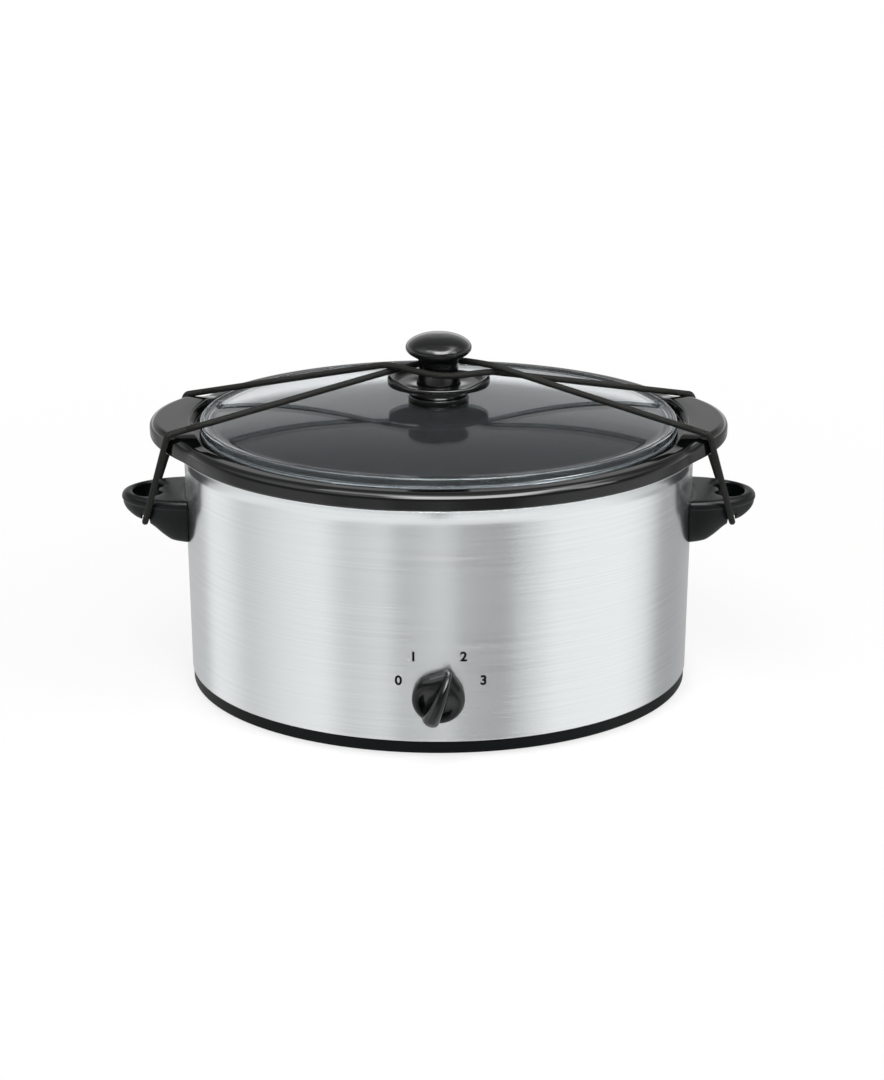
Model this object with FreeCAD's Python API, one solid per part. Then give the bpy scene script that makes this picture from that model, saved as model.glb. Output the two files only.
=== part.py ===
"""Oval slow cooker: housing, crock, glass lid, elastic strap and heat control, piece by piece.

Millimetres, +Z up, the front faces -Y. The origin is on the table under the middle of the oval.
"""

import FreeCAD
import Part
import math
import os
from FreeCAD import Vector

# Shared fits
sliding_gap = 0.3
fitting_gap = 0.1
running_gap = 0.1

# Oval body
body_half_length = 160.0
body_half_depth = 124.0
sheet = 0.8
foot_stand = 2.0
base_band = 8.0
wall_height = 140.0
flare_height = 11.0
flare_out = 6.0

# Base pan, feet and the bolt that draws the body together
base_inset = 0.6
base_floor = 3.0
upstand_height = 8.0
upstand_thickness = 3.0
boss_radius = 13.0
boss_height = 9.0
pocket_radius = 9.0
pocket_depth = 7.0
foot_radius = 9.0
foot_recess = 1.0
foot_stem_radius = 3.0
foot_span_x = 200.0
foot_span_y = 124.0
stud_radius = 3.0
nut_height = 4.0
washer_thickness = 0.8
spacer_radius = 6.5
shield_inset = 36.0

# Crock
rim_height = 10.4
rim_overhang = 6.5
rim_land = 11.5
rim_round = 3.0
ear_reach = 14.5
ear_half_span = 46.0
ear_thickness = 8.4
ear_lift = 3.6
ear_bevel = 2.0
ear_blend = 8.0
ledge_depth = 3.6
crock_inset = 15.0
crock_draft = 5.0
crock_wall = 9.0
crock_floor = 10.0
crock_corner = 18.0
crock_height = 121.3
liner_gap = 1.0

# Heater around the liner
heater_drop = 36.0
heater_height = 55.0
heater_thickness = 1.6
heater_slot = 12.0
clamp_length = 36.0
clamp_thickness = 1.0
clamp_margin = 10.0

# Glass lid
lid_inset = 10.5
bead_width = 3.6
bead_height = 7.1
bead_step = 1.3
glass = 4.0
dome_rise = 11.0

# Lid knob, collar and its screw
seat_radius = 19.0
seat_height = 9.0
collar_half_length = 32.0
collar_half_depth = 23.0
collar_thickness = 3.5
collar_dish = 1.0
collar_rim = 4.5
tab_rise = 2.6
tab_start = 24.0
tab_width = 3.4
neck_radius = 12.2
neck_foot_radius = 13.2
neck_height = 14.0
cap_radius = 20.9
cap_height = 17.0
insert_radius = 3.5
insert_length = 12.0
lid_screw_radius = 2.5
lid_screw_head_radius = 7.0
lid_washer_radius = 8.5

# Side handles
handle_reach = 41.0
handle_half_width = 25.0
handle_root = 3.0
handle_top = 126.3
handle_depth = 27.0
handle_plate = 3.2
handle_step = 0.8
grip_half_length = 10.5
grip_half_width = 13.0
grip_from_tip = 17.5
tongue_width = 8.0
tongue_length = 5.5
notch_from_tip = 16.5
notch_width = 5.0
notch_depth_from_top = 12.2
handle_screw_radius = 2.0
handle_screw_span = 24.0
handle_screw_drop = 13.5
handle_screw_length = 14.0
handle_screw_lead = 9.0
handle_screw_head_radius = 4.0
handle_screw_head = 2.6

# Strap
strap_diameter = 4.0
strap_gap = 0.35

# Heat control
dial_height = 40.0
dial_radius = 16.0
dial_tip = 20.2
dial_depth = 16.5
dial_rim = 4.0
dial_gap = 1.0
dial_fin = 7.0
dial_angle = 25.0
bushing_radius = 4.5
switch_nut_thickness = 2.4
shaft_radius = 3.0
switch_width = 30.0
switch_depth = 13.0
switch_tall = 28.0
blade_length = 8.5

# Mains lead gland and the leads inside
gland_height = 26.0
gland_radius = 6.5
gland_flange_radius = 9.0
gland_bore_radius = 4.0
gland_length = 15.0
gland_nose = 11.0
lead_diameter = 2.6

# Levels that follow from the sizes above
base_z = foot_stand
wall_z = base_z + base_band
shoulder_z = wall_z + wall_height
lip_z = shoulder_z + flare_height
rim_z = lip_z + sliding_gap
rim_top = rim_z + rim_height
ledge_z = rim_top - ledge_depth
skirt_z = ledge_z + sliding_gap
bead_top = skirt_z + bead_height
dome_edge = bead_top - bead_step
dome_top = bead_top + dome_rise
crock_bottom = rim_z - crock_height
liner_bottom = crock_bottom - liner_gap - sheet
boss_top = base_z + base_floor + boss_height
collar_z = dome_top + seat_height
collar_top = collar_z + collar_thickness
neck_z = collar_top - collar_dish
cap_z = neck_z + neck_height + collar_dish
knob_top = cap_z + cap_height
strap_radius = strap_diameter / 2


def oval(half_length, half_depth, z):
    """A level oval outline."""
    return Part.Wire(Part.Ellipse(Vector(0, 0, z), half_length, half_depth).toShape())


def ring(offset, z):
    """The body's own outline, moved out by an offset."""
    return oval(body_half_length + offset, body_half_depth + offset, z)


def stack(rings):
    """A solid through level outlines given as (offset, z)."""
    return Part.makeLoft([ring(offset, z) for offset, z in rings], True, True)


def prism(offset, low, high):
    """An upright oval block."""
    return Part.Face(ring(offset, low)).extrude(Vector(0, 0, high - low))


def cylinder(radius, start, end):
    """A round bar between two points."""
    run = Vector(*end) - Vector(*start)
    return Part.makeCylinder(radius, run.Length, Vector(*start), run)


def box(low, high):
    """A block between two corners."""
    return Part.makeBox(*[b - a for a, b in zip(low, high)], Vector(*low))


def turned(outline):
    """A solid of revolution from straight and three-point edges in the XZ plane."""
    edges = []
    start = outline[0]
    for step in outline[1:]:
        here = Vector(start[0], 0, start[1])
        end = step[-1] if isinstance(step, list) else step
        there = Vector(end[0], 0, end[1])
        if isinstance(step, list):
            edges.append(Part.Arc(here, Vector(step[0][0], 0, step[0][1]), there).toShape())
        else:
            edges.append(Part.LineSegment(here, there).toShape())
        start = end
    first = Vector(outline[0][0], 0, outline[0][1])
    edges.append(Part.LineSegment(Vector(start[0], 0, start[1]), first).toShape())
    return Part.Face(Part.Wire(edges)).revolve(Vector(0, 0, 0), Vector(0, 0, 1), 360)


def hexagon(across_flats, start, end):
    """A six-sided bar between two points."""
    run = Vector(*end) - Vector(*start)
    radius = across_flats / math.sqrt(3)
    corners = [
        Vector(radius * math.cos(math.radians(60 * i)), radius * math.sin(math.radians(60 * i)), 0)
        for i in range(7)
    ]
    bar = Part.Face(Part.makePolygon(corners)).extrude(Vector(0, 0, run.Length))
    bar.Placement = FreeCAD.Placement(Vector(*start), FreeCAD.Rotation(Vector(0, 0, 1), run))
    return bar


def tube(name, points, radii, diameter):
    """A round cord along straight runs joined by tangent arcs, one radius for each inner point."""
    points = [Vector(*p) for p in points]
    edges = []
    here = points[0]
    for before, corner, after, radius in zip(points, points[1:], points[2:], radii):
        back = (before - corner).normalize()
        on = (after - corner).normalize()
        turn = math.pi - back.getAngle(on)
        leg = radius * math.tan(turn / 2)
        first = corner + back * leg
        last = corner + on * leg
        middle_way = (back + on).normalize()
        middle = corner + middle_way * (radius / math.cos(turn / 2) - radius)
        edges.append(Part.LineSegment(here, first).toShape())
        edges.append(Part.Arc(first, middle, last).toShape())
        here = last
    edges.append(Part.LineSegment(here, points[-1]).toShape())
    path = Part.Wire(edges)
    length = sum(edge.Length for edge in edges)
    start_way = points[1] - points[0]
    section = Part.Wire(Part.Circle(points[0], start_way, diameter / 2).toShape())
    cord = path.makePipeShell([section], True, False)
    area = math.pi * diameter**2 / 4
    share = cord.Volume / (area * length)
    print(name, "length", round(length, 1), "radii", [round(r, 1) for r in radii], "volume", round(share, 4))
    return cord


def bowl(top_offset, top_z, low_offset, low_z, corner):
    """Outlines of a bowl that narrows downwards to a rounded corner."""
    rings = []
    for i in range(7):
        angle = math.radians(15 * i)
        rings.append((low_offset - corner * (1 - math.sin(angle)), low_z + corner * (1 - math.cos(angle))))
    return rings + [(top_offset, top_z)]


def wall_offset(z):
    """How far the crock's outside wall stands from the body's outline at a height."""
    low = crock_bottom + crock_corner
    return -crock_inset - crock_draft * (rim_z - z) / (rim_z - low)


def flare_offset(z):
    """How far the housing's lip stands out at a height."""
    t = max(0.0, (z - shoulder_z) / flare_height)
    return flare_out * (0.35 * t + 0.65 * t * t)


def body_edge(half_length, half_depth, across):
    """How far out an oval is along one axis, at a distance along the other."""
    return half_length * math.sqrt(1 - (across / half_depth) ** 2)


pieces = {}

# Housing: one wrapped sheet with a flared lip
levels = [wall_z, shoulder_z] + [shoulder_z + flare_height * i / 6 for i in range(1, 7)]
outside = [(flare_offset(z), z) for z in levels]
inside = [(flare_offset(z) - sheet, z) for z in levels]
inside[0] = (-sheet, wall_z - 1)
inside.append((inside[-1][0] + 1, lip_z + 1))
housing = stack(outside).cut(stack(inside))
front = -body_half_depth
back = body_half_depth
dial_hole = cylinder(bushing_radius + fitting_gap, (0, front - 2, dial_height), (0, front + 4, dial_height))
gland_hole = cylinder(gland_radius + fitting_gap, (0, back - 4, gland_height), (0, back + 2, gland_height))
housing = housing.cut(dial_hole).cut(gland_hole)

# Base pan: the dark band under the housing, with an upstand inside it
upstand = -sheet - fitting_gap
base = prism(-base_inset, base_z, wall_z)
base = base.fuse(prism(upstand, wall_z, wall_z + upstand_height))
hollow = upstand - upstand_thickness
base = base.cut(prism(hollow, base_z + base_floor, wall_z + upstand_height + 1))
base = base.fuse(cylinder(boss_radius, (0, 0, base_z + base_floor), (0, 0, boss_top)))
pocket_top = base_z + pocket_depth
base = base.cut(cylinder(pocket_radius, (0, 0, base_z - 1), (0, 0, pocket_top)))
base = base.cut(cylinder(stud_radius + sliding_gap, (0, 0, base_z), (0, 0, boss_top + 1)))
feet = []
for side_x in (-1, 1):
    for side_y in (-1, 1):
        x = side_x * foot_span_x / 2
        y = side_y * foot_span_y / 2
        recess_z = base_z + foot_recess
        recess = cylinder(foot_radius + fitting_gap, (x, y, base_z - 1), (x, y, recess_z))
        hole = cylinder(foot_stem_radius, (x, y, base_z), (x, y, base_z + base_floor + 1))
        base = base.cut(recess).cut(hole)
        pad = cylinder(foot_radius, (x, y, 0), (x, y, recess_z))
        stem_radius = foot_stem_radius - fitting_gap / 2
        feet.append(pad.fuse(cylinder(stem_radius, (x, y, 0), (x, y, base_z + base_floor))).removeSplitter())
pieces["base_pan"] = base.removeSplitter()
pieces["feet"] = Part.makeCompound(feet)

# Liner: the pan that the crock stands in
flange_z = lip_z - 3.8
liner_top = flange_z + sheet
liner_low = wall_offset(crock_bottom + crock_corner) + liner_gap
inner_bowl = bowl(
    wall_offset(flange_z) + liner_gap, flange_z, liner_low, crock_bottom - liner_gap, crock_corner + liner_gap
)
outer_bowl = bowl(
    wall_offset(flange_z) + liner_gap + sheet, flange_z, liner_low + sheet, liner_bottom,
    crock_corner + liner_gap + sheet,
)
flange = prism(flare_offset(flange_z) - sheet - fitting_gap, flange_z, liner_top)
mouth = prism(wall_offset(flange_z) + liner_gap, flange_z - 0.01, liner_top + 1)
liner = stack(outer_bowl).fuse(flange).cut(stack(inner_bowl)).cut(mouth)
pieces["liner"] = liner.removeSplitter()

# Heater band, split at the front, and the clamp that bridges the split
heater_top = rim_z - heater_drop
heater_low = heater_top - heater_height
heater_in = liner_gap + sheet + fitting_gap
heater_out = heater_in + heater_thickness


def wrap(inner, outer, low, high):
    """A band round the liner, between two distances from the crock's wall."""
    outer_rings = [(wall_offset(z) + outer, z) for z in (low, high)]
    inner_rings = [(wall_offset(z) + inner, z) for z in (low - 1, high + 1)]
    return stack(outer_rings).cut(stack(inner_rings))


heater = wrap(heater_in, heater_out, heater_low, heater_top)
half_slot = heater_slot / 2
heater = heater.cut(box((-half_slot, -body_half_depth, heater_low - 1), (half_slot, 0, heater_top + 1)))
pieces["heater_band"] = heater
clamp_in = heater_out + fitting_gap
clamp = wrap(clamp_in, clamp_in + clamp_thickness, heater_low + clamp_margin, heater_top - clamp_margin)
half_clamp = clamp_length / 2
clamp = clamp.common(box((-half_clamp, -body_half_depth, heater_low), (half_clamp, 0, heater_top)))
pieces["heater_clamp"] = clamp

# Heat shield and the draw bolt stack in the middle of the base
shield = prism(-shield_inset, boss_top, boss_top + sheet)
shield_hole = cylinder(stud_radius + sliding_gap, (0, 0, boss_top - 1), (0, 0, boss_top + 2))
pieces["heat_shield"] = shield.cut(shield_hole)
spacer_z = boss_top + sheet
spacer = cylinder(spacer_radius, (0, 0, spacer_z), (0, 0, liner_bottom))
pieces["draw_spacer"] = spacer.cut(
    cylinder(stud_radius + sliding_gap, (0, 0, spacer_z - 1), (0, 0, liner_bottom + 1))
)
washer_z = pocket_top - washer_thickness
washer = cylinder(pocket_radius - 1, (0, 0, washer_z), (0, 0, pocket_top))
pieces["draw_washer"] = washer.cut(cylinder(stud_radius + sliding_gap, (0, 0, 0), (0, 0, pocket_top + 1)))
nut_z = washer_z - nut_height
nut = hexagon(10.0, (0, 0, nut_z), (0, 0, washer_z))
pieces["draw_nut"] = nut.cut(cylinder(stud_radius + fitting_gap / 2, (0, 0, 0), (0, 0, pocket_top)))
pieces["draw_stud"] = cylinder(stud_radius, (0, 0, nut_z - 0.5), (0, 0, liner_bottom))

# Side handles
tip_x = body_half_length + handle_reach
root_x = body_half_length - handle_root
handle_low = handle_top - handle_depth
reach = tip_x - root_x
grip_x = tip_x - grip_from_tip
notch_x = tip_x - notch_from_tip
notch_z = handle_top - notch_depth_from_top
plate_z = handle_top - handle_plate
lower_plan = Part.Ellipse(Vector(root_x, 0, handle_low), reach - handle_step, handle_half_width - handle_step)
lower = Part.Face(Part.Wire(lower_plan.toShape())).extrude(Vector(0, 0, plate_z - handle_low))
under = Part.BSplineCurve()
under.interpolate([
    Vector(root_x - 17, -handle_half_width, handle_low),
    Vector(root_x + 7, -handle_half_width, handle_low + 1.2),
    Vector(root_x + 15, -handle_half_width, handle_low + 3.1),
    Vector(root_x + 26, -handle_half_width, handle_low + 11.0),
    Vector(root_x + 35, -handle_half_width, handle_low + 13.4),
    Vector(tip_x + 2, -handle_half_width, handle_low + 18.0),
])
corners = [
    Vector(tip_x + 2, -handle_half_width, handle_low + 18.0),
    Vector(tip_x + 2, -handle_half_width, handle_top + 1),
    Vector(root_x - 17, -handle_half_width, handle_top + 1),
    Vector(root_x - 17, -handle_half_width, handle_low),
]
sides = [Part.makeLine(a, b) for a, b in zip(corners, corners[1:])]
profile = Part.Face(Part.Wire([under.toShape()] + sides))
lower = lower.common(profile.extrude(Vector(0, 2 * handle_half_width, 0)))
upper_plan = Part.Ellipse(Vector(root_x, 0, plate_z), reach, handle_half_width)
upper = Part.Face(Part.Wire(upper_plan.toShape())).extrude(Vector(0, 0, handle_plate))
top_edges = [e for e in upper.Edges if abs(e.CenterOfMass.z - handle_top) < 0.01]
upper = upper.makeFillet(1.4, top_edges)
grip_plan = Part.Ellipse(Vector(0, 0, handle_low - 1), grip_half_width, grip_half_length)
grip = Part.Face(Part.Wire(grip_plan.toShape())).extrude(Vector(0, 0, handle_depth + 2))
grip.rotate(Vector(0, 0, 0), Vector(0, 0, 1), 90)
grip.translate(Vector(grip_x, 0, 0))
tongue_end = grip_x - grip_half_length + tongue_length
half_tongue = tongue_width / 2
grip = grip.cut(box((root_x, -half_tongue, handle_low - 2), (tongue_end, half_tongue, handle_top + 2)))
half_notch = notch_width / 2
notch = box(
    (notch_x - half_notch, -handle_half_width, handle_low - 5),
    (notch_x + half_notch, handle_half_width, notch_z),
)
handle = lower.fuse(upper).cut(grip).cut(notch).mirror(Vector(0, 0, 0), Vector(1, 0, 0))
handle = handle.cut(prism(fitting_gap, handle_low - 1, handle_top + 1))
screw_z = handle_top - handle_screw_drop
screws = []
for side_y in (-1, 1):
    y = side_y * handle_screw_span / 2
    head_y = abs(y) + handle_screw_head_radius
    seat_x = body_edge(body_half_length - sheet, body_half_depth - sheet, head_y) - fitting_gap
    end_x = seat_x + handle_screw_length
    lead_x = root_x - handle_screw_lead
    handle = handle.cut(cylinder(handle_screw_radius, (-lead_x, y, screw_z), (-end_x - 1, y, screw_z)))
    hole = cylinder(handle_screw_radius + fitting_gap, (-lead_x, y, screw_z), (-end_x, y, screw_z))
    housing = housing.cut(hole).cut(hole.mirror(Vector(0, 0, 0), Vector(1, 0, 0)))
    screw = cylinder(handle_screw_head_radius, (seat_x - handle_screw_head, y, screw_z), (seat_x, y, screw_z))
    shank = cylinder(handle_screw_radius - fitting_gap / 2, (seat_x - 1, y, screw_z), (end_x, y, screw_z))
    screw = screw.fuse(shank).removeSplitter()
    screws += [screw, screw.mirror(Vector(0, 0, 0), Vector(1, 0, 0))]
pieces["handle_left"] = handle
pieces["handle_right"] = handle.mirror(Vector(0, 0, 0), Vector(1, 0, 0))
pieces["handle_screws"] = Part.makeCompound(screws)
pieces["housing"] = housing

# Crock: oval pot with a wide rim and an ear at each end
rim_length = body_half_length + rim_overhang
rim_depth = body_half_depth + rim_overhang
ear_x = body_edge(rim_length, rim_depth, ear_half_span)
ear_rise = rim_length + ear_reach - ear_x
ear_radius = (ear_half_span**2 + ear_rise**2) / (2 * ear_rise)
ear_centre = rim_length + ear_reach - ear_radius
ear_top = rim_top + ear_lift
groove_offset = rim_overhang - rim_land


def ear(side, low, high, half_span):
    """The round end of the rim on one side, cut to a span."""
    disc = cylinder(ear_radius, (side * ear_centre, 0, low), (side * ear_centre, 0, high))
    near = side * (ear_x - ear_half_span / 2)
    far = side * (rim_length + 2 * ear_reach)
    return disc.common(box((min(near, far), -half_span, low), (max(near, far), half_span, high)))


rim = prism(rim_overhang, rim_z, rim_top)
for side in (-1, 1):
    rim = rim.fuse(ear(side, rim_top - ear_thickness, rim_top, 1.2 * ear_half_span))
rim = rim.removeSplitter()
joins = [
    e for e in rim.Edges
    if len(e.Vertexes) == 2
    and abs(e.Vertexes[0].X - e.Vertexes[1].X) < 0.01
    and abs(e.Vertexes[0].Y - e.Vertexes[1].Y) < 0.01
    and e.Length > ear_thickness - 0.1
    and abs(abs(e.CenterOfMass.y) - ear_half_span) < 2
]
rim = rim.makeFillet(ear_blend, joins)
top_edges = [
    e for e in rim.Edges
    if abs(e.BoundBox.ZMin - rim_top) < 0.01 and abs(e.BoundBox.ZMax - rim_top) < 0.01
]
rim = rim.makeFillet(rim_round, top_edges)
for side in (-1, 1):
    half_span = ear_half_span - 1
    pad = ear(side, rim_top - 1.3 * rim_round, ear_top - ear_bevel, half_span)
    bevel_foot = Vector(side * ear_centre, 0, ear_top - ear_bevel)
    bevel = Part.makeCone(ear_radius, ear_radius - ear_bevel, ear_bevel, bevel_foot)
    pad = pad.fuse(bevel.common(ear(side, ear_top - ear_bevel, ear_top, half_span)))
    rim = rim.fuse(pad.cut(prism(groove_offset, rim_z, ear_top + 1)))
low_offset = wall_offset(crock_bottom + crock_corner)
pot = stack(bowl(-crock_inset, rim_z + 1, low_offset, crock_bottom, crock_corner))
cavity_corner = crock_corner - 4
cavity_floor = crock_bottom + crock_floor
cavity_inset = -crock_inset - crock_wall
cavity = stack(bowl(cavity_inset, rim_top + 1, low_offset - crock_wall, cavity_floor, cavity_corner))
groove = prism(groove_offset, ledge_z, ear_top + 1)
pieces["crock"] = pot.fuse(rim).cut(groove).cut(cavity).removeSplitter()

# Lid: a shallow glass dome with a rounded edge that stands in the crock's groove
edge_length = body_half_length - lid_inset
edge_depth = body_half_depth - lid_inset
bead = bead_width / 2
outer_wires = [oval(edge_length, edge_depth, skirt_z)]
for i in range(7):
    angle = math.radians(24 * i)
    inset = bead * (1 - math.cos(angle))
    z = bead_top - bead + bead * math.sin(angle)
    outer_wires.append(oval(edge_length - inset, edge_depth - inset, z))
dome_length = edge_length - bead_width - 0.4
dome_depth = edge_depth - bead_width - 0.4
inner_wires = [
    oval(edge_length - bead_width, edge_depth - bead_width, skirt_z - 1),
    oval(edge_length - bead_width, edge_depth - bead_width, dome_edge - glass),
]
crest_share = 0.06
crest_rise = (dome_top - dome_edge) / (1 - crest_share**2)
for share in (1.0, 0.88, 0.75, 0.6, 0.45, 0.3, 0.15, crest_share):
    z = dome_edge + crest_rise * (1 - share**2)
    outer_wires.append(oval(dome_length * share, dome_depth * share, z))
    inner_wires.append(oval((dome_length - 1.0) * share, (dome_depth - 1.0) * share, z - glass + 0.05))
lid = Part.makeLoft(outer_wires, True, True).cut(Part.makeLoft(inner_wires, True, True))
hole_radius = lid_screw_radius + 1.5
pieces["lid_glass"] = lid.cut(cylinder(hole_radius, (0, 0, dome_edge - 9), (0, 0, dome_top + 1)))

# Knob on the lid, from the seat on the glass up
screw_way = cylinder(lid_screw_radius + sliding_gap, (0, 0, dome_edge - 9), (0, 0, neck_z + 1))
waist = seat_radius - 1.6
seat = turned([
    (0, dome_top),
    (seat_radius - 0.8, dome_top),
    [(seat_radius - 0.23, dome_top + 0.23), (seat_radius, dome_top + 0.8)],
    (seat_radius, dome_top + 3.4),
    [(seat_radius - 0.5, dome_top + 4.4), (waist, dome_top + 4.9)],
    (waist, collar_z),
    (0, collar_z),
])
pieces["knob_seat"] = seat.cut(screw_way)
collar_plan = Part.Face(oval(collar_half_length, collar_half_depth, collar_z))
plate = collar_plan.extrude(Vector(0, 0, collar_thickness))
dish = Part.Face(oval(collar_half_length - collar_rim, collar_half_depth - collar_rim, neck_z))
plate = plate.cut(dish.extrude(Vector(0, 0, collar_thickness)))
tabs = collar_plan.extrude(Vector(0, 0, collar_thickness + tab_rise))
inner = Part.Face(oval(collar_half_length - tab_width, collar_half_depth - tab_width, collar_z))
tabs = tabs.cut(inner.extrude(Vector(0, 0, collar_thickness + 2 * tab_rise)))
middle_low = (-tab_start, -collar_half_length, collar_z - 1)
middle_high = (tab_start, collar_half_length, collar_top + 2 * tab_rise)
tabs = tabs.cut(box(middle_low, middle_high))
pieces["strap_collar"] = plate.fuse(tabs).cut(screw_way).removeSplitter()
crown_edge = 0.82 * cap_radius
crown_rise = 0.2 * cap_height
crown_radius = (crown_edge**2 + crown_rise**2) / (2 * crown_rise)
crown_mid = knob_top - crown_radius + math.sqrt(crown_radius**2 - crown_edge**2 / 4)
knob = turned([
    (0, neck_z),
    (neck_foot_radius, neck_z),
    [(neck_radius, (neck_z + cap_z) / 2), (neck_foot_radius, cap_z)],
    [(cap_radius - 1.9, cap_z + 2.6), (cap_radius, cap_z + 0.5 * cap_height)],
    [(0.955 * cap_radius, cap_z + 0.67 * cap_height), (crown_edge, knob_top - crown_rise)],
    [(crown_edge / 2, crown_mid), (0, knob_top)],
])
pieces["lid_knob"] = knob.cut(cylinder(insert_radius, (0, 0, neck_z - 1), (0, 0, neck_z + insert_length + 2)))
insert_z = neck_z + 0.5
insert_bar = cylinder(insert_radius - fitting_gap / 2, (0, 0, insert_z), (0, 0, insert_z + insert_length))
pieces["knob_insert"] = insert_bar.cut(
    cylinder(lid_screw_radius + fitting_gap / 2, (0, 0, insert_z - 1), (0, 0, insert_z + insert_length + 1))
)
seal_top = dome_top - glass - 0.1
pieces["lid_seal"] = cylinder(lid_washer_radius, (0, 0, seal_top - 1.2), (0, 0, seal_top)).cut(screw_way)
washer_top = seal_top - 1.2
pieces["lid_washer"] = cylinder(
    lid_washer_radius - 0.5, (0, 0, washer_top - washer_thickness), (0, 0, washer_top)
).cut(screw_way)
head_top = washer_top - washer_thickness
head = cylinder(lid_screw_head_radius, (0, 0, head_top - 2.4), (0, 0, head_top))
head = head.makeFillet(1.2, [e for e in head.Edges if abs(e.CenterOfMass.z - head_top + 2.4) < 0.01])
head = head.cut(box((-4.5, -0.6, head_top - 3), (4.5, 0.6, head_top - 1.4)))
pieces["lid_screw"] = head.fuse(
    cylinder(lid_screw_radius, (0, 0, head_top - 1), (0, 0, insert_z + insert_length - 1))
).removeSplitter()

# Heat control: switch behind the front wall, its nut, shaft and knob
body_front = front + sheet + 1.2
switch_back = body_front + switch_depth
half_width = switch_width / 2
half_tall = switch_tall / 2
switch = box(
    (-half_width, body_front, dial_height - half_tall), (half_width, switch_back, dial_height + half_tall)
)
pad_front = front + sheet + sliding_gap
switch = switch.fuse(cylinder(8.0, (0, body_front, dial_height), (0, pad_front, dial_height)))
nut_front = front - fitting_gap - switch_nut_thickness
bushing_front = nut_front - 0.9
switch = switch.fuse(cylinder(bushing_radius, (0, body_front, dial_height), (0, bushing_front, dial_height)))
shaft_back = switch_back - 2.5
shaft_way_back = shaft_back + sliding_gap
switch = switch.cut(
    cylinder(shaft_radius + running_gap, (0, shaft_way_back, dial_height), (0, front - 9, dial_height))
)
pieces["switch_body"] = switch.removeSplitter()
lock_nut = hexagon(12.0, (0, front - fitting_gap, dial_height), (0, nut_front, dial_height))
pieces["switch_nut"] = lock_nut.cut(
    cylinder(bushing_radius + fitting_gap / 2, (0, front + 1, dial_height), (0, nut_front - 1, dial_height))
)
blade_top = dial_height - half_tall
blade_y = (body_front + switch_back) / 2
blades = [
    box((x - 3.15, blade_y - 0.4, blade_top - blade_length), (x + 3.15, blade_y + 0.4, blade_top))
    for x in (-8.0, 8.0)
]
pieces["switch_blades"] = Part.makeCompound(blades)

# The knob is drawn upright, pointer along +Y, then laid against the front wall
tangent = math.acos(dial_radius / dial_tip)
touch_x = dial_radius * math.sin(tangent)
touch_y = dial_radius * math.cos(tangent)
drop = Part.Wire([
    Part.Arc(Vector(touch_x, touch_y, 0), Vector(0, -dial_radius, 0), Vector(-touch_x, touch_y, 0)).toShape(),
    Part.makeLine(Vector(-touch_x, touch_y, 0), Vector(0, dial_tip, 0)),
    Part.makeLine(Vector(0, dial_tip, 0), Vector(touch_x, touch_y, 0)),
])
dial = Part.Face(drop).extrude(Vector(0, 0, dial_depth))
tip_edges = [e for e in dial.Edges if abs(e.CenterOfMass.y - dial_tip) < 0.01]
dial = dial.makeFillet(2.0, tip_edges)
crest = Part.Wire([
    Part.makeLine(Vector(0, -dial_radius - 2, -1), Vector(0, -dial_radius - 2, 0.66 * dial_depth)),
    Part.Arc(
        Vector(0, -dial_radius - 2, 0.66 * dial_depth),
        Vector(0, -2, dial_depth),
        Vector(0, dial_tip + 2, 0.3 * dial_depth),
    ).toShape(),
    Part.makeLine(Vector(0, dial_tip + 2, 0.3 * dial_depth), Vector(0, dial_tip + 2, -1)),
    Part.makeLine(Vector(0, dial_tip + 2, -1), Vector(0, -dial_radius - 2, -1)),
])
crest = Part.Face(crest)
crest.translate(Vector(-dial_tip, 0, 0))
dial = dial.common(crest.extrude(Vector(2 * dial_tip, 0, 0)))
scoop = dial_depth - dial_rim
for side in (-1, 1):
    x = side * (dial_fin / 2 + scoop)
    dial = dial.cut(cylinder(scoop, (x, -dial_tip - 5, dial_depth), (x, dial_tip + 5, dial_depth)))
recess = front - dial_gap - bushing_front + sliding_gap
dial = dial.cut(cylinder(8.0, (0, 0, -1), (0, 0, recess)))
dial_back = front - dial_gap
shaft_front = dial_back - dial_depth + 4
shaft_end = dial_back - shaft_front
dial = dial.cut(cylinder(shaft_radius + fitting_gap / 2, (0, 0, 0), (0, 0, shaft_end + 0.5)))
flat = shaft_radius - 1.0
shaft = cylinder(shaft_radius, (0, 0, dial_back - shaft_back), (0, 0, shaft_end))
flat_start = recess + 1
shaft = shaft.cut(box((flat, -9, flat_start), (9, 9, 99)))
clip = box((flat + fitting_gap / 2, -1.2, flat_start + 0.5), (flat + 0.75, 1.2, shaft_end))
to_wall = FreeCAD.Placement(
    Vector(0, dial_back, dial_height), FreeCAD.Rotation(Vector(1, 0, 0), 90)
).multiply(FreeCAD.Placement(Vector(0, 0, 0), FreeCAD.Rotation(Vector(0, 0, 1), -dial_angle)))
for name, shape in (("dial_knob", dial), ("switch_shaft", shaft), ("dial_clip", clip)):
    shape = shape.copy()
    shape.Placement = to_wall.multiply(shape.Placement)
    pieces[name] = shape

# Gland for the mains lead, at the back
gland_face = back + fitting_gap
flange_face = gland_face + 3
gland_end = flange_face - gland_length
gland = cylinder(gland_radius, (0, gland_end, gland_height), (0, gland_face, gland_height))
gland_flange = cylinder(gland_flange_radius, (0, gland_face, gland_height), (0, flange_face, gland_height))
gland = gland.fuse(gland_flange)
nose_foot = Vector(0, flange_face, gland_height)
nose = Part.makeCone(gland_flange_radius - 1.5, gland_radius, gland_nose, nose_foot, Vector(0, 1, 0))
gland = gland.fuse(nose)
pieces["cord_gland"] = gland.cut(
    cylinder(gland_bore_radius, (0, back - 40, gland_height), (0, back + 30, gland_height))
).removeSplitter()

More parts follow.
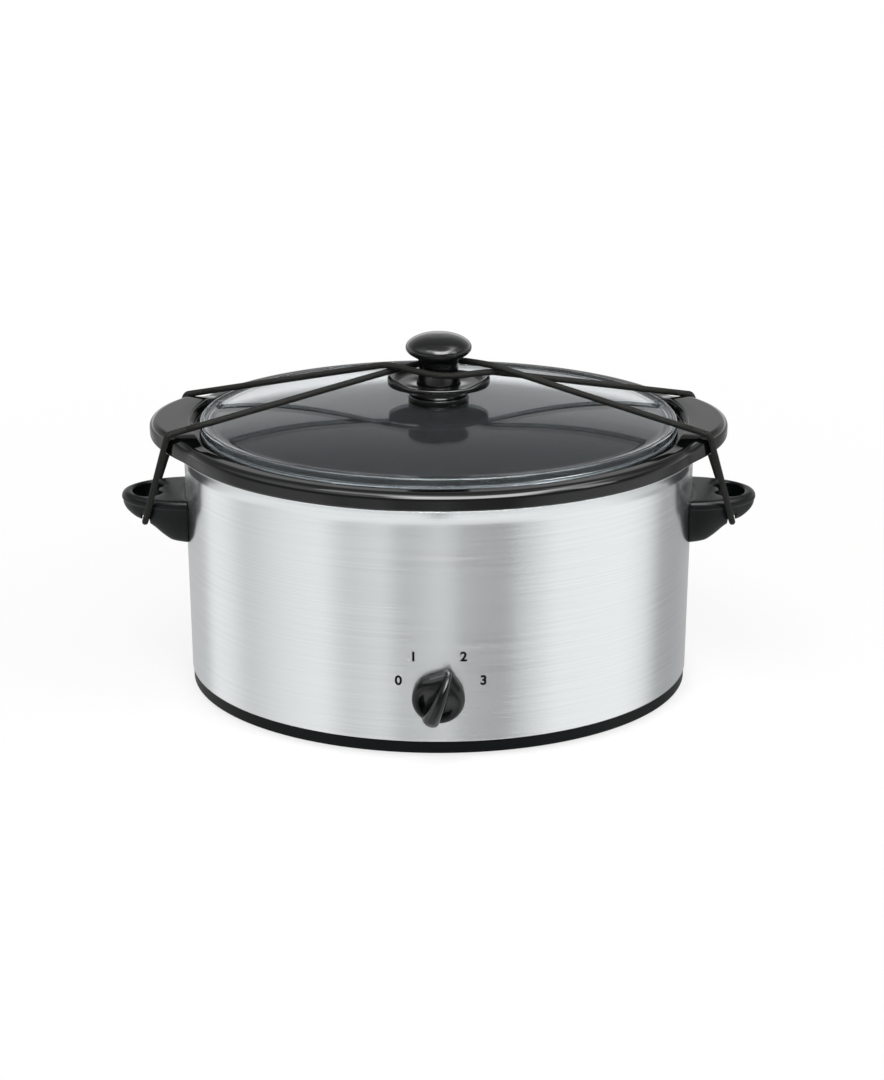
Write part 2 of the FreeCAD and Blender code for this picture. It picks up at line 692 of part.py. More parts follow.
# Leads inside: gland to switch, switch to heater, gland to heater
floor_z = base_z + base_floor + lead_diameter / 2 + 1
heater_mid = body_half_depth + wall_offset(heater_low) + heater_in + lead_diameter / 2 + 0.3
lead_top = heater_low - 0.4
blade_low = blade_top - blade_length - 1.5
live = tube("live lead", [
    (-2, gland_end - 0.3, gland_height), (-2, gland_end - 10, gland_height), (-12, 92, floor_z),
    (-24, 55, floor_z), (-24, -60, floor_z), (-8, blade_y + 22, floor_z), (-8, blade_y, blade_low),
], [10, 14, 40, 40, 14], lead_diameter)
heat_x = 26.0
heat_y = heater_mid * math.sqrt(1 - (heat_x / (heater_mid + body_half_length - body_half_depth)) ** 2)
heat = tube("heater lead", [
    (8, blade_y, blade_low), (22, blade_y + 2, floor_z + 5), (heat_x, blade_y + 3, blade_low + 16),
    (heat_x, -heat_y, lead_top),
], [8, 40], lead_diameter)
back_x = 16.0
back_y = heater_mid * math.sqrt(1 - (back_x / (heater_mid + body_half_length - body_half_depth)) ** 2)
neutral = tube("neutral lead", [
    (2, gland_end - 1.6, gland_height), (back_x, gland_end - 5, gland_height + 12),
    (back_x, back_y, lead_top),
], [14], lead_diameter)
pieces["inner_leads"] = Part.makeCompound([live, heat, neutral])

# Elastic strap: a loop under each handle and two runs that cross round the knob's neck
cross_x = collar_half_length - 1.0
cross_low = collar_top + tab_rise + strap_radius + 2 * strap_gap
cross_high = cross_low + strap_diameter + 2 * strap_gap
neck_mid = (cross_low + cross_high) / 2
round_neck = neck_radius + 0.6 + strap_radius + strap_gap
ear_bend_x = ear_centre + 0.677 * (ear_radius + strap_radius + 0.75)
ear_bend_y = 0.736 * (ear_radius + strap_radius + 0.75)
ear_bend_z = ear_top + strap_radius - 0.1
hook_y = handle_half_width * math.sqrt(1 - ((notch_x - root_x) / reach) ** 2) + strap_radius + 0.7
hook_z = notch_z - strap_radius - strap_gap
split = 12.0


def span(side_x, side_y, cross_z):
    """The ear's bend, and the point on the span above it where the strap's pieces meet."""
    bend = Vector(side_x * ear_bend_x, side_y * ear_bend_y, ear_bend_z)
    crossing = Vector(side_x * cross_x, 0, cross_z)
    way = (crossing - bend).normalize()
    return bend, bend + way * split, crossing


for side_x, name in ((-1, "strap_left_loop"), (1, "strap_right_loop")):
    front_cross = cross_low if side_x < 0 else cross_high
    back_cross = cross_high if side_x < 0 else cross_low
    front_bend, front_start, _ = span(side_x, -1, front_cross)
    back_bend, back_start, _ = span(side_x, 1, back_cross)
    hook_x = side_x * notch_x
    pieces[name] = tube(name, [
        front_start, front_bend, (hook_x, -hook_y, hook_z), (hook_x, hook_y, hook_z), back_bend, back_start,
    ], [6.5, 4.5, 4.5, 6.5], strap_diameter)
for side_y, name in ((-1, "strap_front_run"), (1, "strap_back_run")):
    left_cross = cross_low if side_y < 0 else cross_high
    right_cross = cross_high if side_y < 0 else cross_low
    _, left_start, left = span(-1, side_y, left_cross)
    _, right_start, right = span(1, side_y, right_cross)
    lean = (right_cross - left_cross) * 0.2
    round_y = -side_y * round_neck
    pieces[name] = tube(name, [
        left_start, left, (-7, round_y, neck_mid - lean), (7, round_y, neck_mid + lean), right, right_start,
    ], [30, 12, 12, 30], strap_diameter)

os.makedirs("parts", exist_ok=True)
for name, shape in pieces.items():
    shape.exportStep("parts/" + name + ".step")
    print(name, "valid" if shape.isValid() else "NOT VALID", len(shape.Solids), round(shape.Volume))
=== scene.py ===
# %% [markdown]
# # An oval slow cooker in a white studio
# A slow cooker is a steel housing with a heater inside, a black glazed crock that stands in it, and a glass
# lid with a knob. An elastic strap runs from the side handles over the lid, so that the cooker can be carried
# with food in it. The construction is already there as solids, with the joints that move them. This lesson
# gives each visible piece its final surface and every piece its finish, and sets a small studio round it.

import math

import bpy
import numpy as np
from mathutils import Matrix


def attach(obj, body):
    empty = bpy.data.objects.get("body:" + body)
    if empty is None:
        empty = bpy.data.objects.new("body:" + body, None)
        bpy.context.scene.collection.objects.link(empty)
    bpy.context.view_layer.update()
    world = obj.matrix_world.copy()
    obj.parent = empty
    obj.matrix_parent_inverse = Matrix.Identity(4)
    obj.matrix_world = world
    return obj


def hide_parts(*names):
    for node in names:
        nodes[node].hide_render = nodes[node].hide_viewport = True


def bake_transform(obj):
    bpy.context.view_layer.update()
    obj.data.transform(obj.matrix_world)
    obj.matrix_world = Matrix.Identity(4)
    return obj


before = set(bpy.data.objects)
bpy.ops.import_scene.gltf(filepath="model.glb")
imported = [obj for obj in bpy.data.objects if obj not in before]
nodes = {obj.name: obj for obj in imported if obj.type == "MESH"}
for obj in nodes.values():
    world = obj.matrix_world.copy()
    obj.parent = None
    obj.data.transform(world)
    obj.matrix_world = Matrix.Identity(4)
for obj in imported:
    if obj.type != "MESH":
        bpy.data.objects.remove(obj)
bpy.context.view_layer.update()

# %% [markdown]
# ## Sizes
# A surface has to lie where its solid lies, because the solid is what collides and moves. So the sizes repeat
# those of the construction, in millimetres. The origin is on the table under the middle of the oval, the
# front faces -Y, and Z is up. A mesh is divided by 1000 when it is made, because Blender works in metres.

# %% Sizes
HALF_LENGTH = 160.0
HALF_DEPTH = 124.0
SHEET = 0.8
WALL_Z = 10.0
SHOULDER_Z = 150.0
LIP_Z = 161.0
FLARE_OUT = 6.0
RIM_Z = 161.3
RIM_TOP = 171.7
RIM_OUT = 6.5
LEDGE_Z = 168.1
DOME_TOP = 186.5
COLLAR_Z = 195.5
COLLAR_TOP = 199.0
NECK_Z = 198.0
print(f"housing {2 * HALF_LENGTH:.0f} x {2 * HALF_DEPTH:.0f} mm, rim {RIM_TOP} mm and lid {DOME_TOP} mm up")

# %% [markdown]
# ## Lines
# Most of the pieces begin as a line: half of a section through a turned knob, or the wall of a bowl. Such a
# line could be drawn by hand as a curve. Here it is an array of points, because arcs and smooth lines are one
# formula each, and an array can be carried round an axis in a single step.

# %% Lines


def arc(centre, radius, start, end, steps=9):
    """Points of an arc: centre plus radius times cosine and sine of angles from start to end, in degrees."""
    angle = np.radians(np.linspace(start, end, steps))
    return np.stack([centre[0] + radius * np.cos(angle), centre[1] + radius * np.sin(angle)], axis=-1)


def join(*parts):
    """One line from single points and runs of points, one after the other."""
    return np.concatenate([np.atleast_2d(np.asarray(part, float)) for part in parts])


def smooth_line(points, steps=6):
    """A line through points, made of cubics whose slope at a point is half the way between its neighbours."""
    places = np.asarray(points, float)
    padded = join(2 * places[0] - places[1], places, 2 * places[-1] - places[-2])
    a, b, c, d = (padded[i : i + len(places) - 1, None] for i in range(4))
    t = np.linspace(0, 1, steps, endpoint=False)[:, None]
    bend = (2 * a - 5 * b + 4 * c - d) * t**2 + (3 * b - a - 3 * c + d) * t**3
    return join((b + 0.5 * ((c - a) * t + bend)).reshape(-1, 2), places[-1])


def smooth_step(value, low, high):
    """0 below low and 1 above high; between them three squares less two cubes of the share of the way."""
    share = np.clip((value - low) / (high - low), 0, 1)
    return share**2 * (3 - 2 * share)


print("arc of a quarter turn:", np.round(arc((0, 0), 1, 0, 90, 3), 2).tolist())

# %% [markdown]
# ## Surfaces
# Every new piece is one grid of points: rows along a line, columns all the way round. The faces between them
# follow from the grid's numbering, so no loop over vertices is needed. A closed ring, such as a sheet with an
# inside and an outside, joins its last row to its first. Any other grid closes to a point at both ends. The
# sign of the volume tells if the faces look outwards, which glass needs in order to bend light the right way.

# %% Surfaces


def numbers(items, name, width, kind=np.float32):
    """Reads one property of many mesh items into an array with a row for each item."""
    flat = np.empty(len(items) * width, kind)
    items.foreach_get(name, flat)
    return flat.reshape(-1, width)


def signed_volume(mesh):
    """A sixth of the box products of all the triangles' corners, added up: negative if faces look inwards."""
    mesh.calc_loop_triangles()
    corners = numbers(mesh.loop_triangles, "vertices", 3, np.int32)
    a, b, c = np.moveaxis(numbers(mesh.vertices, "co", 3)[corners], 1, 0)
    return float(np.sum(a * np.cross(b, c))) / 6


def mesh_object(name, points, faces):
    """A smooth-shaded object at the origin from points in millimetres; prints its faces and its size."""
    mesh = bpy.data.meshes.new(name)
    mesh.from_pydata((np.asarray(points) / 1000).tolist(), [], faces)
    mesh.polygons.foreach_set("use_smooth", np.ones(len(mesh.polygons), bool))
    mesh.update()
    if signed_volume(mesh) < 0:
        mesh.flip_normals()
    made = bpy.data.objects.new(name, mesh)
    bpy.context.scene.collection.objects.link(made)
    size = np.round(np.ptp(np.asarray(points), axis=0), 1)
    print(f"{name}: {len(mesh.polygons)} faces, {size[0]} x {size[1]} x {size[2]} mm")
    return made


def grid_object(name, rows, ring=False):
    """A mesh over a grid: each face joins a point, its neighbour round the row, and the two above them."""
    count, around, _ = rows.shape
    index = np.arange(count * around).reshape(count, around)
    points = rows.reshape(-1, 3)
    if ring:
        index = np.concatenate([index, index[:1]])
    right = np.roll(index, -1, axis=1)
    faces = np.stack([index[:-1], right[:-1], right[1:], index[1:]], axis=-1).reshape(-1, 4).tolist()
    if not ring:
        pole = np.full(around, len(points))
        points = np.concatenate([points, rows[[0, -1]].mean(axis=1)])
        faces += np.stack([pole, right[0], index[0]], axis=-1).tolist()
        faces += np.stack([pole + 1, index[-1], right[-1]], axis=-1).tolist()
    return mesh_object(name, points, faces)


def lathe_rows(line, around=96):
    """Rows round the upright axis: each point's distance goes round in a circle at the point's height."""
    angle = np.linspace(0, 2 * math.pi, around, endpoint=False)
    reach, height = line[:, :1], line[:, 1:]
    x = reach * np.cos(angle)
    return np.stack([x, reach * np.sin(angle), np.broadcast_to(height, x.shape)], axis=-1)


def stands_for(made, look, body, *names):
    """Gives a surface its finish, ties it to its body and puts it in the place of its solids."""
    made.data.materials.append(look)
    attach(made, body)
    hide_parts(*names)


circle = lathe_rows(np.array([(10.0, 0.0)]))
print("rows, columns and numbers of a turned circle:", circle.shape)

# %% [markdown]
# ## Finishes
# A finish starts from what the real material is and how its surface was made. One shader carries them all.
# Noise at the size of the real texture, in millimetres, varies its roughness and dents it a little, so that
# a highlight breaks up as it does on a real part. Where the real texture is too fine for the picture, it is
# drawn at about 1 mm, as coarse as it has to be to show at all.

# %% Finish tools
WHITE = (1.0, 1.0, 1.0, 1.0)


def linear(code):
    """A colour from its sRGB hex code: a power curve of 2.4, with a straight part near black."""
    level = np.array([int(code[i : i + 2], 16) for i in (1, 3, 5)]) / 255
    return [*np.where(level <= 0.04045, level / 12.92, ((level + 0.055) / 1.055) ** 2.4).tolist(), 1.0]


def add(tree, kind, inputs=None, **settings):
    """Adds a node with its settings; inputs sets each named or numbered socket, or links it to an output."""
    node = tree.nodes.new(kind)
    for name, value in settings.items():
        setattr(node, name, value)
    for name, value in (inputs or {}).items():
        if isinstance(value, bpy.types.NodeSocket):
            tree.links.new(value, node.inputs[name])
        else:
            node.inputs[name].default_value = value
    return node


def finish(name, code, roughness, grain_mm, spread, depth_mm, stretch=(1.0, 1.0, 1.0), soft_mm=0.0, **values):
    """A finish whose noise has one cell per grain size: 1000 over the size, in cells to the metre."""
    made = bpy.data.materials.new(name)
    made.use_nodes = True
    tree = made.node_tree
    shader = tree.nodes["Principled BSDF"]
    shader.inputs["Base Color"].default_value = linear(code)
    for socket, value in values.items():
        shader.inputs[socket.replace("_", " ")].default_value = value
    place = add(tree, "ShaderNodeTexCoord")
    spot = add(tree, "ShaderNodeMapping", {"Vector": place.outputs["Object"], "Scale": stretch})
    cells = 1000 / grain_mm
    noise = add(tree, "ShaderNodeTexNoise", {"Vector": spot.outputs["Vector"], "Scale": cells, "Detail": 3.0})
    limits = {"Value": noise.outputs["Fac"], "To Min": roughness - spread, "To Max": roughness + spread}
    gloss = add(tree, "ShaderNodeMapRange", limits)
    tree.links.new(gloss.outputs["Result"], shader.inputs["Roughness"])
    dents = {"Height": noise.outputs["Fac"], "Strength": 0.3, "Distance": depth_mm / 1000}
    if soft_mm > 0:
        soft_edge = add(tree, "ShaderNodeBevel", {"Radius": soft_mm / 1000}, samples=8)
        dents["Normal"] = soft_edge.outputs["Normal"]
    bump = add(tree, "ShaderNodeBump", dents)
    tree.links.new(bump.outputs["Normal"], shader.inputs["Normal"])
    return made, tree, shader, noise


print("middle grey, linear:", np.round(linear("#808080"), 3).tolist())

# %% [markdown]
# ## Brushed steel
# The housing is stainless sheet, brushed along its length before it is wrapped. The scratches run round the
# body, so each highlight is drawn out upwards and the room shows as soft upright bands. An anisotropic
# highlight with a tangent that goes round the axis gives that, better than fine bumps that no picture can
# show. Faint lines about 1 mm high and 100 mm long stand for the scratches, far coarser than the real ones.

# %% Brushed steel
LINE_HEIGHT = 1.1
LINE_LENGTH = 100.0
flow = LINE_HEIGHT / LINE_LENGTH
# Stainless sheet: bright, near colourless, with long soft bands of reflected room.
steel, tree, shader, lines = finish(
    "brushed stainless steel", "#e2e5e6", 0.24, LINE_HEIGHT, 0.04, 0.008, stretch=(flow, flow, 1.0),
    Metallic=1.0, Anisotropic=0.85, Anisotropic_Rotation=0.25,
)
tangent = add(tree, "ShaderNodeTangent", direction_type="RADIAL", axis="Z")
tree.links.new(tangent.outputs["Tangent"], shader.inputs["Tangent"])
shades = {"Fac": lines.outputs["Fac"], "Color1": linear("#dadee0"), "Color2": linear("#ecefef")}
shade = add(tree, "ShaderNodeMixRGB", shades)
tree.links.new(shade.outputs["Color"], shader.inputs["Base Color"])
print(f"brush lines: {1000 / LINE_HEIGHT:.0f} to the metre upwards, {1000 / LINE_LENGTH:.0f} along")

# %% [markdown]
# ## Other metals
# Inside are plain metals that are seldom seen: the liner pan, plated screws and nuts, the heater's foil and a
# few brass pieces. They could share one grey, but each has its own way to shine, and an open cooker shows
# them.

# %% Other metals
# Drawn steel pan: a soft, slightly warm sheen without lines.
liner_steel, *_ = finish("satin liner steel", "#b9b9b4", 0.38, 3.3, 0.06, 0.02, Metallic=1.0)
# Zinc on steel: cool and mottled, with a crystal pattern of about 2 mm.
zinc, *_ = finish("zinc plated steel", "#b4b6b8", 0.32, 2.0, 0.08, 0.02, Metallic=1.0)
# Aluminium foil: bright, with creases about 5 mm apart.
foil, *_ = finish("aluminium heater foil", "#c8c8ca", 0.35, 5.0, 0.08, 0.05, Metallic=1.0)
# Turned brass: yellow and fairly sharp in its reflections.
brass, *_ = finish("turned brass", "#c9a253", 0.28, 1.7, 0.05, 0.01, Metallic=1.0)
print("metals:", ", ".join(m.name for m in (steel, liner_steel, zinc, foil, brass)))

# %% [markdown]
# ## Plastics and rubbers
# The black parts aren't one black. The base band is nearly dead, the handles have a soft moulded sheen, and
# the knobs are polished. What sets them apart is roughness and the strength of the reflection, so the colours
# stay close together and those two values differ.

# %% Plastics and rubbers
# Base band: polypropylene, dark with a trace of green, so low in reflection that it reads as a line.
base_plastic, *_ = finish(
    "moulded base polypropylene", "#060b0c", 0.4, 1.1, 0.06, 0.02, soft_mm=0.8, Specular_IOR_Level=0.12,
)
# Handles: phenolic with a fine moulded texture, which keeps highlights broad.
handle_plastic, *_ = finish(
    "moulded handle phenolic", "#090d0e", 0.33, 1.0, 0.05, 0.02, Specular_IOR_Level=0.22,
)
# Lid knob, seat and collar: the same stuff polished, with crisp small highlights.
knob_plastic, *_ = finish("polished phenolic", "#0e0f0f", 0.17, 1.1, 0.04, 0.01, Specular_IOR_Level=0.5)
# Heat knob: the glossiest plastic, almost like lacquer.
dial_plastic, *_ = finish("glossy moulded ABS", "#080a0b", 0.12, 1.1, 0.03, 0.01, Specular_IOR_Level=0.42)
# Switch and gland: dull grey-black nylon.
nylon, *_ = finish("switch nylon", "#232426", 0.5, 1.1, 0.05, 0.02, soft_mm=0.5)
# Feet: matt rubber.
rubber, *_ = finish("foot rubber", "#1b1b1c", 0.7, 1.1, 0.05, 0.04)
# Seal and leads: pale rubbery silicone.
silicone, *_ = finish("seal silicone", "#8d8f90", 0.5, 1.4, 0.05, 0.02)
insulation, *_ = finish("lead insulation", "#d8d6cf", 0.5, 1.4, 0.05, 0.02)
# Strap: braided elastic, warm black and matt. The braid is drawn at 0.7 mm.
elastic, *_ = finish("braided elastic cord", "#161614", 0.75, 0.7, 0.08, 0.2, Specular_IOR_Level=0.25)
print("plastics and rubbers: 9 finishes")

# %% [markdown]
# ## Glaze, glass and ink
# The crock is stoneware with a black glaze, which is glass: sharp reflections on a surface that waves a
# little, about every 25 mm. The lid is clear tempered glass. A slightly low refraction keeps its reflections
# thin, so that the dark crock shows through. The printed numbers are flat ink.

# %% Glaze, glass and ink
# Black glaze: deep black that mirrors the room, slightly uneven.
glaze, *_ = finish("black stoneware glaze", "#070808", 0.06, 25.0, 0.02, 0.06, Specular_IOR_Level=0.45)
# Lid glass: clear with a cool trace that shows where the edge is thick.
clear, *_ = finish(
    "tempered clear glass", "#d3dade", 0.015, 30.0, 0.008, 0.004, Transmission_Weight=0.975, IOR=1.42,
)
# Scale ink: black and matt.
ink, *_ = finish("black scale ink", "#060607", 0.6, 1.1, 0.05, 0.01, Specular_IOR_Level=0.08)
# Studio floor: white paper.
paper, *_ = finish("white studio paper", "#f6f6f5", 0.6, 330.0, 0.02, 0.01)
print("clear finishes:", clear.name, "and", glaze.name)

# %% [markdown]
# ## Finishes on the solids
# Each solid gets the finish of its real part, also where a better surface replaces it further down. The small
# parts inside keep their solids' shape, because those are already right.

# %% Finishes on the solids
looks = {
    steel: ["housing"],
    liner_steel: ["liner"],
    foil: ["heater_band", "heat_shield"],
    zinc: [
        "heater_clamp", "draw_spacer", "draw_washer", "draw_nut", "draw_stud", "handle_screws", "switch_nut",
        "switch_shaft", "dial_clip", "lid_washer", "lid_screw",
    ],
    brass: ["switch_blades", "knob_insert"],
    base_plastic: ["base_pan"],
    handle_plastic: ["handle_left", "handle_right"],
    dial_plastic: ["dial_knob"],
    knob_plastic: ["lid_knob", "strap_collar", "knob_seat"],
    nylon: ["switch_body", "cord_gland"],
    rubber: ["feet"],
    silicone: ["lid_seal"],
    insulation: ["inner_leads"],
    elastic: ["strap_left_loop", "strap_right_loop", "strap_front_run", "strap_back_run"],
    glaze: ["crock"],
    clear: ["lid_glass"],
}
for look, names in looks.items():
    for name in names:
        nodes[name].data.materials.clear()
        nodes[name].data.materials.append(look)
print("solids with a finish:", sum(len(names) for names in looks.values()), "of", len(nodes))

# %% [markdown]
# ## Housing
# The housing is one sheet bent round an oval, with a lip that flares out to carry the crock's rim. It could
# be an extruded curve with a thickness added. A section line with an outside and an inside, carried round the
# oval, gives the sheet's real thickness and a lip that catches the light.

# %% Housing


def flare(z):
    """How far the lip stands out: a third grows with the share of its height, the rest with the square."""
    share = np.clip((z - SHOULDER_Z) / (LIP_Z - SHOULDER_Z), 0, None)
    return FLARE_OUT * (0.35 * share + 0.65 * share**2)


def oval_rows(line, around=360):
    """Rows round the body: each point's offset is added to both half axes of the oval, at its height."""
    angle = np.linspace(0, 2 * math.pi, around, endpoint=False)
    offset, height = line[:, :1], line[:, 1:]
    x = (HALF_LENGTH + offset) * np.cos(angle)
    y = (HALF_DEPTH + offset) * np.sin(angle)
    return np.stack([x, y, np.broadcast_to(height, x.shape)], axis=-1)


levels = np.concatenate([
    [WALL_Z, WALL_Z + 0.5], np.linspace(20, SHOULDER_Z - 1, 12), np.linspace(SHOULDER_Z, LIP_Z, 14),
])
outside = np.stack([flare(levels), levels], axis=-1)
lip_edge = flare(LIP_Z)
lip = [(lip_edge - 0.1, LIP_Z + 0.1), (lip_edge - SHEET + 0.1, LIP_Z + 0.1)]
inside = outside[::-1] - [SHEET, 0]
housing = grid_object("housing_skin", oval_rows(join(outside, lip, inside)), ring=True)
stands_for(housing, steel, "base", "housing")

# %% [markdown]
# ## Crock outline
# Seen from above, the crock's rim is an oval with a round ear at each end. Two outlines could be joined as
# solids and their corner filleted. Here each column round the axis takes the larger of the two distances,
# with a soft step of 10 mm where they meet, which leaves the shallow hollow that the strap lies in.

# %% Crock outline
EAR_REACH = 14.5
EAR_HALF_SPAN = 46.0
EAR_THICKNESS = 8.4
EAR_LIFT = 3.6
EAR_SOFT = 10.0
turn = np.linspace(0, 2 * math.pi, 640, endpoint=False)
cosine = np.cos(turn)
sine = np.sin(turn)


def oval_reach(offset):
    """Distance from the axis to the oval in each column: the half axes' product over a root of squares."""
    a = HALF_LENGTH + np.asarray(offset)
    b = HALF_DEPTH + np.asarray(offset)
    return a * b / np.sqrt((b * cosine) ** 2 + (a * sine) ** 2)


def polar_rows(reach, height):
    """Rows of points at a distance from the axis and a height, one column for each direction."""
    reach, height = np.broadcast_arrays(np.atleast_2d(reach), np.atleast_2d(height))
    return np.stack([reach * cosine, reach * sine, height], axis=-1)


rim_length = HALF_LENGTH + RIM_OUT
rim_depth = HALF_DEPTH + RIM_OUT
ear_x = rim_length * math.sqrt(1 - (EAR_HALF_SPAN / rim_depth) ** 2)
ear_rise = rim_length + EAR_REACH - ear_x
ear_radius = (EAR_HALF_SPAN**2 + ear_rise**2) / (2 * ear_rise)
ear_centre = rim_length + EAR_REACH - ear_radius
ear_line = ear_centre * np.abs(cosine) + np.sqrt(np.clip(ear_radius**2 - (ear_centre * sine) ** 2, 0, None))
rim_line = oval_reach(RIM_OUT)
gap = np.clip((ear_line - rim_line) / EAR_SOFT, -1, 1)
outline = np.where(np.abs(gap) < 1, (rim_line + ear_line) / 2 + EAR_SOFT * (1 + gap**2) / 4,
                   np.maximum(rim_line, ear_line))
ear_share = np.clip((outline - rim_line) / EAR_REACH, 0, 1)
print(f"ears: radius {ear_radius:.1f} mm, {2 * outline.max():.1f} mm from end to end")

# %% [markdown]
# ## Crock
# Glazed stoneware is cast in a mould, so it has no sharp edge anywhere. The section goes up the outside of
# the pot, out under the rim, over its rounded edge, down into the ledge for the lid, and down the cavity.
# The ears are a little higher and rounder than the rest of the rim, column by column.

# %% Crock
POT_IN = 15.0
POT_FOOT_IN = 20.0
POT_Z = 40.0
POT_CORNER = 18.0
CAVITY_IN = 24.6
CAVITY_FOOT_IN = 29.0
CAVITY_Z = 50.0
CAVITY_CORNER = 14.0


def bowl(top, top_z, low, low_z, corner):
    """Section of a bowl from its floor up: a quarter circle, then a straight wall to the top."""
    bend = arc((low - corner, low_z + corner), corner, -90, 0, 12)
    rise = np.linspace(0, 1, 10)[1:, None]
    return join(bend, bend[-1] + (np.array([top, top_z]) - bend[-1]) * rise)


def bowl_rows(line):
    """Rows round the axis for a section of offsets from the oval and heights."""
    return polar_rows(oval_reach(line[:, :1]), line[:, 1:])


part = np.array([[0.15], [0.5], [0.85]])
quarter = np.radians(np.linspace(0, 90, 10))[:, None]
wall_reach = oval_reach(-POT_IN)
under_z = RIM_Z + (RIM_TOP - EAR_THICKNESS - RIM_Z) * ear_share
under_round = 1.2 + 2.0 * ear_share
top_round = 5.0 - 0.2 * ear_share
ear_top = RIM_TOP + EAR_LIFT * smooth_step(ear_share, 0.0, 0.45)
flat_edge = outline - top_round
groove = join(
    arc((-3.5, RIM_TOP - 1.5), 1.5, 90, 180), arc((-6.5, LEDGE_Z + 1.2), 1.2, 0, -90),
    arc((-19.3, LEDGE_Z - 2.0), 2.0, 90, 169), (-CAVITY_IN, 150.0),
)
lifted = np.clip((groove[:, 1:] - LEDGE_Z) / (RIM_TOP - LEDGE_Z), 0, None)
crock_rows = np.concatenate([
    bowl_rows(bowl(-POT_IN, RIM_Z, -POT_FOOT_IN, POT_Z, POT_CORNER)),
    polar_rows(wall_reach + (outline - 3.2 - wall_reach) * part, RIM_Z + (under_z - RIM_Z) * part),
    polar_rows(outline - under_round * (1 - np.sin(quarter)), under_z + under_round * (1 - np.cos(quarter))),
    polar_rows(flat_edge + top_round * np.cos(quarter), ear_top - top_round * (1 - np.sin(quarter))),
    polar_rows(flat_edge - 0.3, ear_top),
    polar_rows((flat_edge + oval_reach(-5.0)) / 2, ear_top),
    polar_rows(oval_reach(groove[:, :1]), groove[:, 1:] + (ear_top - RIM_TOP) * lifted),
    bowl_rows(bowl(-CAVITY_IN, 148.0, -CAVITY_FOOT_IN, CAVITY_Z, CAVITY_CORNER)[::-1]),
])
crock = grid_object("crock_glaze", crock_rows)
stands_for(crock, glaze, "crock", "crock")

# %% [markdown]
# ## Glass lid
# The lid is pressed glass: a shallow dome whose edge thickens into a rounded bead that stands in the crock's
# ledge. A scaled sphere would be too round at the middle. The height falls with a power of the distance,
# which stays flat in the middle and turns down near the edge, as on a real lid. The inside is 4 mm below.

# %% Glass lid
SKIRT_Z = 168.4
BEAD_TOP = 175.5
BEAD_WIDTH = 3.6
DOME_EDGE = 174.2
DOME_POWER = 2.5
GLASS = 4.0
LID_INSET = 10.5
LID_HOLE = 4.0
bead = BEAD_WIDTH / 2
edge = oval_reach(-LID_INSET)
dome = oval_reach(-LID_INSET - BEAD_WIDTH - 0.4)
out = np.linspace(0, 1, 28)[:, None]
fall = (DOME_TOP - DOME_EDGE) * (1 - out**DOME_POWER)
over = np.radians(np.linspace(140, 0, 12))[:, None]
below = np.radians(np.linspace(0, 180, 10))[:, None]
lid_rows = np.concatenate([
    polar_rows(LID_HOLE + (dome - LID_HOLE) * out, DOME_EDGE + fall),
    polar_rows(edge - bead + bead * np.cos(over), BEAD_TOP - bead + bead * np.sin(over)),
    polar_rows(edge - bead + bead * np.cos(below), SKIRT_Z + bead - bead * np.sin(below)),
    polar_rows(edge - BEAD_WIDTH, DOME_EDGE - GLASS - 0.6),
    polar_rows(LID_HOLE + (dome - 1.2 - LID_HOLE) * out[::-1], DOME_EDGE - GLASS + fall[::-1]),
])
lid = grid_object("lid_dome", lid_rows, ring=True)
stands_for(lid, clear, "lid", "lid_glass")

# %% [markdown]
# ## Lid knob and seat
# The knob is moulded phenolic in the shape of a mushroom, and it sits on a stepped disc. Both are round, so
# a section goes round the axis. The knob's section is a smooth line through a dozen points, because its
# curve has no single radius.

# %% Lid knob and seat
KNOB_TOP = 228.5
SEAT = 19.0
WAIST = 17.4
SCREW_HOLE = 2.8
KNOB_BORE = 3.5
BORE_END = NECK_Z + 14.0
seat_line = join(
    (SCREW_HOLE, DOME_TOP), arc((SEAT - 0.8, DOME_TOP + 0.8), 0.8, -90, 0, 5),
    arc((SEAT - 1.0, 189.9), 1.0, 0, 80, 6), (WAIST, 191.4),
    arc((WAIST - 0.3, COLLAR_Z - 0.3), 0.3, 0, 90, 4), (SCREW_HOLE, COLLAR_Z),
)
seat = grid_object("knob_seat_disc", lathe_rows(seat_line), ring=True)
stands_for(seat, knob_plastic, "lid", "knob_seat")
knob_shape = smooth_line([
    (13.4, NECK_Z), (12.5, 203.0), (12.3, 208.0), (12.6, 211.8), (13.8, 213.8), (16.7, 215.7), (19.0, 217.3),
    (20.2, 218.8), (20.5, 220.2), (20.2, 221.7), (18.9, 223.4), (16.3, 225.2), (12.8, 226.7), (8.4, 227.8),
    (4.0, 228.3), (0.4, KNOB_TOP),
])
bore = [(0.4, BORE_END), (KNOB_BORE, BORE_END), (KNOB_BORE, NECK_Z)]
knob = grid_object("lid_knob_skin", lathe_rows(join(bore, knob_shape)))
stands_for(knob, knob_plastic, "lid", "lid_knob")

# %% [markdown]
# ## Strap collar
# Under the knob lies an oval collar, dished in the middle and turned up at both ends so that the strap can't
# slip off. It could be a disc bent with a modifier. Here each row is an oval with an inset and a height, and
# a share of the upturned ends that grows from the dish to the edge.

